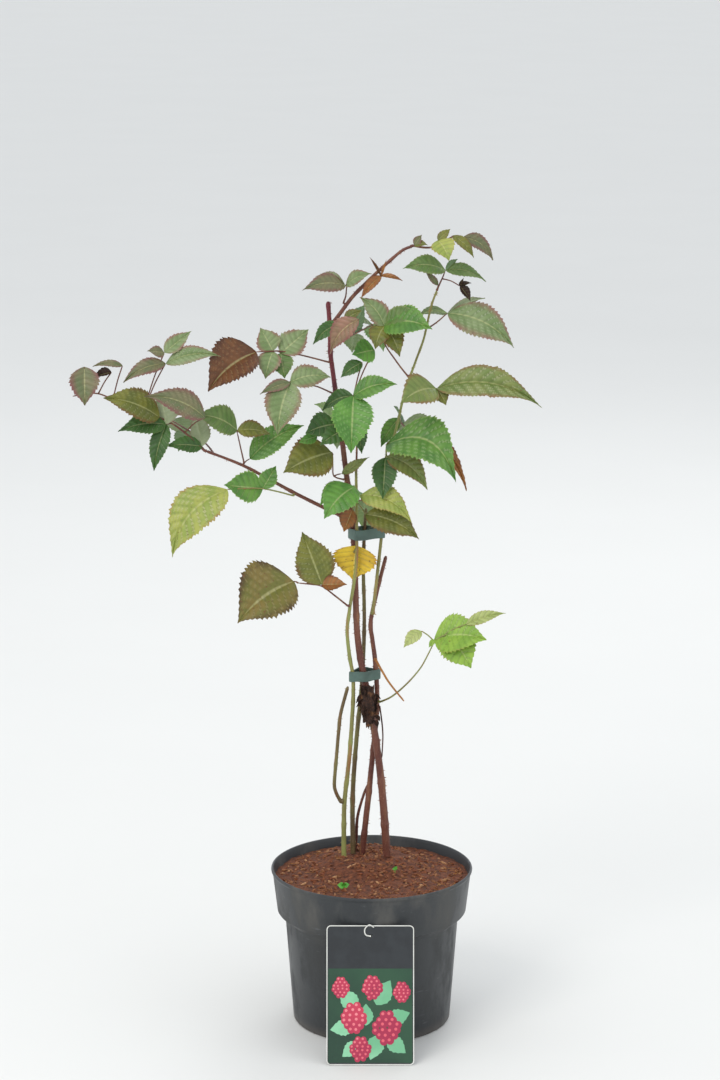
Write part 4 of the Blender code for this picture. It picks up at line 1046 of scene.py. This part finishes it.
def makeTie(name, node, z):
    rim = []
    for limb in tieSize["limbs"]:
        for level in (z - 4, z, z + 4):
            found = limbAt(limb, level)
            if found:
                spot, radius = found
                reach = radius + tieSize["clear"]
                rim += [(spot.x + reach * x, spot.y + reach * y) for x, y in circle(16)]
    hull = hullOf(rim)
    loop = [Vector((*p, 0)) for p in hull] + [Vector((*hull[0], 0))]
    lengths = [0.0]
    for a, b in zip(loop, loop[1:]):
        lengths.append(lengths[-1] + (b - a).length)
    steps, batch, k = tieSize["steps"], newBatch(), 0
    middle = sum(loop[:-1], Vector()) / (len(loop) - 1)
    rows = ((0, -0.5), (1, -0.5), (1.25, -0.38), (1.25, 0.38), (1, 0.5), (0, 0.5))
    for i in range(steps):
        want = lengths[-1] * i / steps
        while k < len(lengths) - 2 and lengths[k + 1] < want:
            k += 1
        share = (want - lengths[k]) / max(1e-6, lengths[k + 1] - lengths[k])
        spot = loop[k] + share * (loop[k + 1] - loop[k])
        outward = (spot - middle).normalized()
        doubled = tieSize["overlap"][0] < i < tieSize["overlap"][1]
        ripple = 0.25 * math.sin(5 * 2 * math.pi * i / steps) + (0.7 if doubled else 0.0)
        for out, up in rows:
            place = spot + (out * tieSize["wall"] + (ripple if out else 0)) * outward
            height = z + up * tieSize["height"] + 0.3 * math.sin(0.2 * i)
            batch["points"].append(Vector((place.x, place.y, height)))
    count = len(rows)
    cell = newCell(batch)
    for i in range(steps):
        after = (i + 1) % steps
        for r in range(count):
            m = (r + 1) % count
            u, v = i / steps, (i + 1) / steps
            addFace(batch, (i * count + r, i * count + m, after * count + m, after * count + r),
                    cell, [(u, r / count), (u, (r + 1) / count), (v, (r + 1) / count), (v, r / count)])
    piece = makePiece(name, batch, ["tie"], [node])
    openWhole(piece)
    bpy.ops.mesh.normals_make_consistent(inside=False)
    bpy.ops.object.mode_set(mode="OBJECT")


makeTie("lowerBand", "lower_tie", tieSize["low"])
makeTie("upperBand", "upper_tie", tieSize["high"])


# crumbled old leaves caught among the canes
oldLeaves = {"centre": (-2.6, 10.7, 303.5), "half": (7.0, 5.6, 19.5), "flakes": 26, "seed": 17}


def makeCrumble():
    chance = random.Random(oldLeaves["seed"])
    middle, half = Vector(oldLeaves["centre"]), oldLeaves["half"]
    bpy.ops.object.select_all(action="DESELECT")
    bpy.ops.mesh.primitive_ico_sphere_add(subdivisions=5, radius=1.0)
    lump = bpy.context.object
    lump.name = "crumbledOldLeaves"
    for vert in lump.data.vertices:
        rough = noise.noise(1.9 * vert.co) * 0.35 + noise.noise(5.0 * vert.co) * 0.22
        rough += noise.noise(13 * vert.co) * 0.1
        spread = Vector([vert.co[i] * half[i] for i in range(3)])
        vert.co = middle * mm + (0.94 + rough) * spread * mm
    lump.data.materials.append(looks["crumble"])
    lump.data.shade_smooth()
    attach(lump, "root")
    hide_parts("withered_knot")
    flakes = newBatch()
    for n in range(oldLeaves["flakes"]):
        turn, z = chance.uniform(0, 6.28), chance.uniform(-17, 17)
        narrow = math.sqrt(1 - (z / 20) ** 2)  # the lump narrows to its ends
        foot = middle + Vector((6.0 * narrow * math.cos(turn), 5.0 * narrow * math.sin(turn), z))
        size = (chance.uniform(5, 10), chance.uniform(0, 360), chance.uniform(-50, 20), 0.5, 0.1)
        addBlade(flakes, foot, size, 0.4, 0, chance, 0.8)
    makePiece("crumbledFlakes", flakes, ["crumble"])


makeCrumble()
print("ties and old leaves")


# card with a plain header and a picture of berries
cardSize = {"width": 80.5, "length": 127.5, "thick": 0.8, "corner": 4.0, "top": 122.6, "offset": -1.6,
            "holeDrop": 9.0, "holeRadius": 2.2, "pictureTop": 88.0, "edge": 1.6, "mapRoom": 140.0}
# the printed picture, in millimetres on the card: leaves with length and heading, berries with their scale,
# and the rows of drupelets in a berry
cardPrint = {"leaves": ((-20, 60, 24, 130), (12, 66, 26, 60), (26, 44, 22, 20), (-26, 34, 22, 190),
                        (4, 16, 24, 250), (-18, 14, 20, 220), (24, 18, 22, 320), (-4, 46, 20, 90)),
             "berries": ((-15, 42, 1.5), (15, 33, 1.6), (2, 70, 1.15), (29, 66, 1.0), (-27, 70, 1.0),
                         (-9, 14, 1.2)),
             "rows": ((8, 2), (5, 3), (2, 4), (-1, 4), (-4, 3), (-7, 2))}


def cardPoint(across, up, out):
    bandFoot = potSize["height"] - potSize["bandDrop"]
    slope = (potSize["rim"] - potSize["bandFoot"]) / potSize["bandDrop"]
    seat = potSize["bandFoot"] + slope * (cardSize["top"] - bandFoot) + seatGap + cardSize["thick"]
    lean = math.acos(cardSize["top"] / cardSize["length"])
    rise, step = math.cos(lean), math.sin(lean)
    foot, lift = -(seat + cardSize["length"] * step), cardSize["thick"] * step + seatGap
    return Vector((cardSize["offset"] + across, foot + up * step - out * rise, lift + up * rise + out * step))


def roundedOutline(half, low, high, corner, steps=8):
    outline = []
    for cx, cy, start in ((half - corner, low + corner, -90), (half - corner, high - corner, 0),
                          (-half + corner, high - corner, 90), (-half + corner, low + corner, 180)):
        for k in range(steps + 1):
            turn = math.radians(start + 90 * k / steps)
            outline.append((cx + corner * math.cos(turn), cy + corner * math.sin(turn)))
    return outline


def addFlat(batch, outline, out, slot):
    start = len(batch["points"])
    batch["points"] += [cardPoint(x, y, out) for x, y in outline]
    xs, ys = [p[0] for p in outline], [p[1] for p in outline]
    cell, size = newCell(batch), max(max(xs) - min(xs), max(ys) - min(ys))
    addFace(batch, tuple(range(start, start + len(outline))), cell,
            [((x - min(xs)) / size, (y - min(ys)) / size) for x, y in outline], slot)


def makeCardStock():
    half, length, thick = cardSize["width"] / 2, cardSize["length"], cardSize["thick"]
    batch = newBatch()
    outer = roundedOutline(half, 0.0, length, cardSize["corner"])
    outer = [(x, max(y, 0.0)) for x, y in outer]
    middleUp, radius = length - cardSize["holeDrop"], cardSize["holeRadius"]
    turns = [math.atan2(y - middleUp, x) for x, y in outer]  # as seen from the hole
    order = sorted(range(len(outer)), key=lambda k: turns[k] % (2 * math.pi))
    outer = [outer[k] for k in order]
    hole = [(radius * math.cos(turns[k]), middleUp + radius * math.sin(turns[k])) for k in order]
    count = len(outer)
    for out in (0.0, -thick):
        for ring in (outer, hole):
            batch["points"] += [cardPoint(x, y, out) for x, y in ring]
    cells = [newCell(batch) for n in range(3)]
    room = cardSize["mapRoom"]
    for k in range(count):
        m = (k + 1) % count
        spot = [(0.5 + x / room, y / room) for x, y in (outer[k], outer[m], hole[m], hole[k])]
        addFace(batch, (k, m, count + m, count + k), cells[0], spot)
        addFace(batch, (2 * count + m, 2 * count + k, 3 * count + k, 3 * count + m), cells[1],
                [spot[1], spot[0], spot[3], spot[2]])
        u, v = k / count, (k + 1) / count
        addFace(batch, (m, k, 2 * count + k, 2 * count + m), cells[2], [(v, 0), (u, 0), (u, 0.4), (v, 0.4)], 1)
        addFace(batch, (count + k, count + m, 3 * count + m, 3 * count + k), cells[2],
                [(u, 0.6), (v, 0.6), (v, 1.0), (u, 1.0)], 1)
    makePiece("pictureCard", batch, ["card", "cardEdge"], ["card"], 30)


def makePicture(chance):
    half, edge, high = cardSize["width"] / 2, cardSize["edge"], cardSize["pictureTop"]
    art = newBatch()
    addFlat(art, [(-half + edge, 2.0), (half - edge, 2.0), (half - edge, high), (-half + edge, high)], 0.05, 0)
    for x, y, size, heading in cardPrint["leaves"]:
        turn, leafEdge = math.radians(heading), []
        for k in range(24):
            t = k / 24
            share = 2 * t if t < 0.5 else 2 - 2 * t
            side = 1 if t < 0.5 else -1
            reach = 0.32 * size * math.sin(math.pi * share ** 0.8) * (1 + 0.12 * (k % 2)) * side
            px = x + (share - 0.5) * size * math.cos(turn) - reach * math.sin(turn)
            py = y + (share - 0.5) * size * math.sin(turn) + reach * math.cos(turn)
            leafEdge.append((max(-half + edge, min(half - edge, px)), max(2.2, min(high - 0.4, py))))
        addFlat(art, leafEdge[::-1], 0.08 + 0.004 * len(art["faces"]), 1)
    for bx, by, size in cardPrint["berries"]:
        for up, wide in cardPrint["rows"]:
            for n in range(wide):
                cx = bx + size * (4.0 * (n - (wide - 1) / 2) + chance.uniform(-0.4, 0.4))
                cy = by + size * (up + chance.uniform(-0.4, 0.4))
                for radius, slot, off in ((2.35 * size, 2, 0.0), (0.9 * size, 3, 0.5 * size)):
                    disc = [(cx - off + radius * x, cy + off + radius * y) for x, y in circle(10)]
                    addFlat(art, disc, 0.16 + 0.0008 * len(art["faces"]), slot)
    makePiece("cardPicture", art, ["printDark", "printLeaf", "printBerry", "printShine"])


def makeWhiteEdge():
    half, length = cardSize["width"] / 2, cardSize["length"]
    rim = newBatch()
    out = roundedOutline(half - 0.05, 0.05, length - 0.05, cardSize["corner"])
    inner = roundedOutline(half - 0.9, 0.9, length - 0.9, cardSize["corner"] - 0.8)
    n = len(out)
    rim["points"] = [cardPoint(x, y, 0.04) for x, y in out + inner]
    cell = newCell(rim)
    for k in range(n):
        m = (k + 1) % n
        u, v = k / n, (k + 1) / n
        addFace(rim, (k, m, n + m, n + k), cell, [(u, 0), (v, 0), (v, 1), (u, 1)])
    makePiece("cardWhiteEdge", rim, ["cardEdge"])


def makeCord(chance):
    middle, topOut = cardSize["length"] - cardSize["holeDrop"], 0.9
    bends = [cardPoint(0.6, middle - 1.0, topOut), cardPoint(-4.2, middle + 0.4, topOut + 0.3),
             cardPoint(-5.0, middle + 5.6, topOut + 0.5), cardPoint(-0.8, middle + 9.4, topOut + 0.2),
             cardPoint(3.4, middle + 7.0, topOut)]
    cord = newBatch()
    barkTube(cord, smoothPath(smoothPath(bends, 2.0), 0.7), (1.2, 1.2), 10, chance, 0.02)
    makePiece("hangingCord", cord, ["cord"], ["card_loop"])


chance = random.Random(31)
makeCardStock()
makePicture(chance)
makeWhiteEdge()
makeCord(chance)
print("card")


# floor, lights and camera
bpy.ops.object.select_all(action="DESELECT")
bpy.ops.mesh.primitive_plane_add(size=80, location=(0, 20, -0.0002))
floor = bpy.context.object
floor.name = "paleFloor"
floorMaterial, floorTree, floorShader = newMaterial("paleFloor", 0.85)
floorTone = twoTone(floorTree, speckle(floorTree, 3), 0.3, 0.7, "#e6e6e3", "#e5e5e2")
finishMaterial(floorTree, floorShader, floorTone)
floor.data.materials.append(floorMaterial)

scene = bpy.context.scene
world = bpy.data.worlds.new("studioAir")
scene.world = world
world.use_nodes = True
air = world.node_tree.nodes["Background"]
air.inputs["Color"].default_value = (0.93, 0.96, 1.0, 1.0)
air.inputs["Strength"].default_value = 0.95
lampLooks = {"key": ((-1.6, -2.2, 2.6), 42.0, 1.6, (1.0, 0.97, 0.93)),
             "fill": ((2.4, -1.6, 1.5), 8.0, 2.0, (0.93, 0.96, 1.0)),
             "rim": ((0.8, 2.2, 2.2), 14.0, 1.5, (1.0, 1.0, 1.0))}
for name, (place, power, size, colour) in lampLooks.items():
    lamp = bpy.data.lights.new(name, "AREA")
    lamp.energy, lamp.size, lamp.color = power, size, colour
    holder = bpy.data.objects.new(name, lamp)
    scene.collection.objects.link(holder)
    holder.location = place
    holder.rotation_euler = (Vector((0, 0, 0.4)) - Vector(place)).to_track_quat("-Z", "Y").to_euler()

cameraLooks = {"place": (-0.01105, -2.880, 1.1232), "pitch": 90 - 12.87, "lens": 106.67, "sensor": 36.0}
cameraData = bpy.data.cameras.new("camera")
cameraData.lens = cameraLooks["lens"]
cameraData.sensor_width = cameraLooks["sensor"]
cameraData.sensor_fit = "AUTO"
camera = bpy.data.objects.new("camera", cameraData)
scene.collection.objects.link(camera)
camera.location = cameraLooks["place"]
camera.rotation_euler = (math.radians(cameraLooks["pitch"]), 0, 0)
scene.camera = camera
scene.view_settings.view_transform = "Standard"
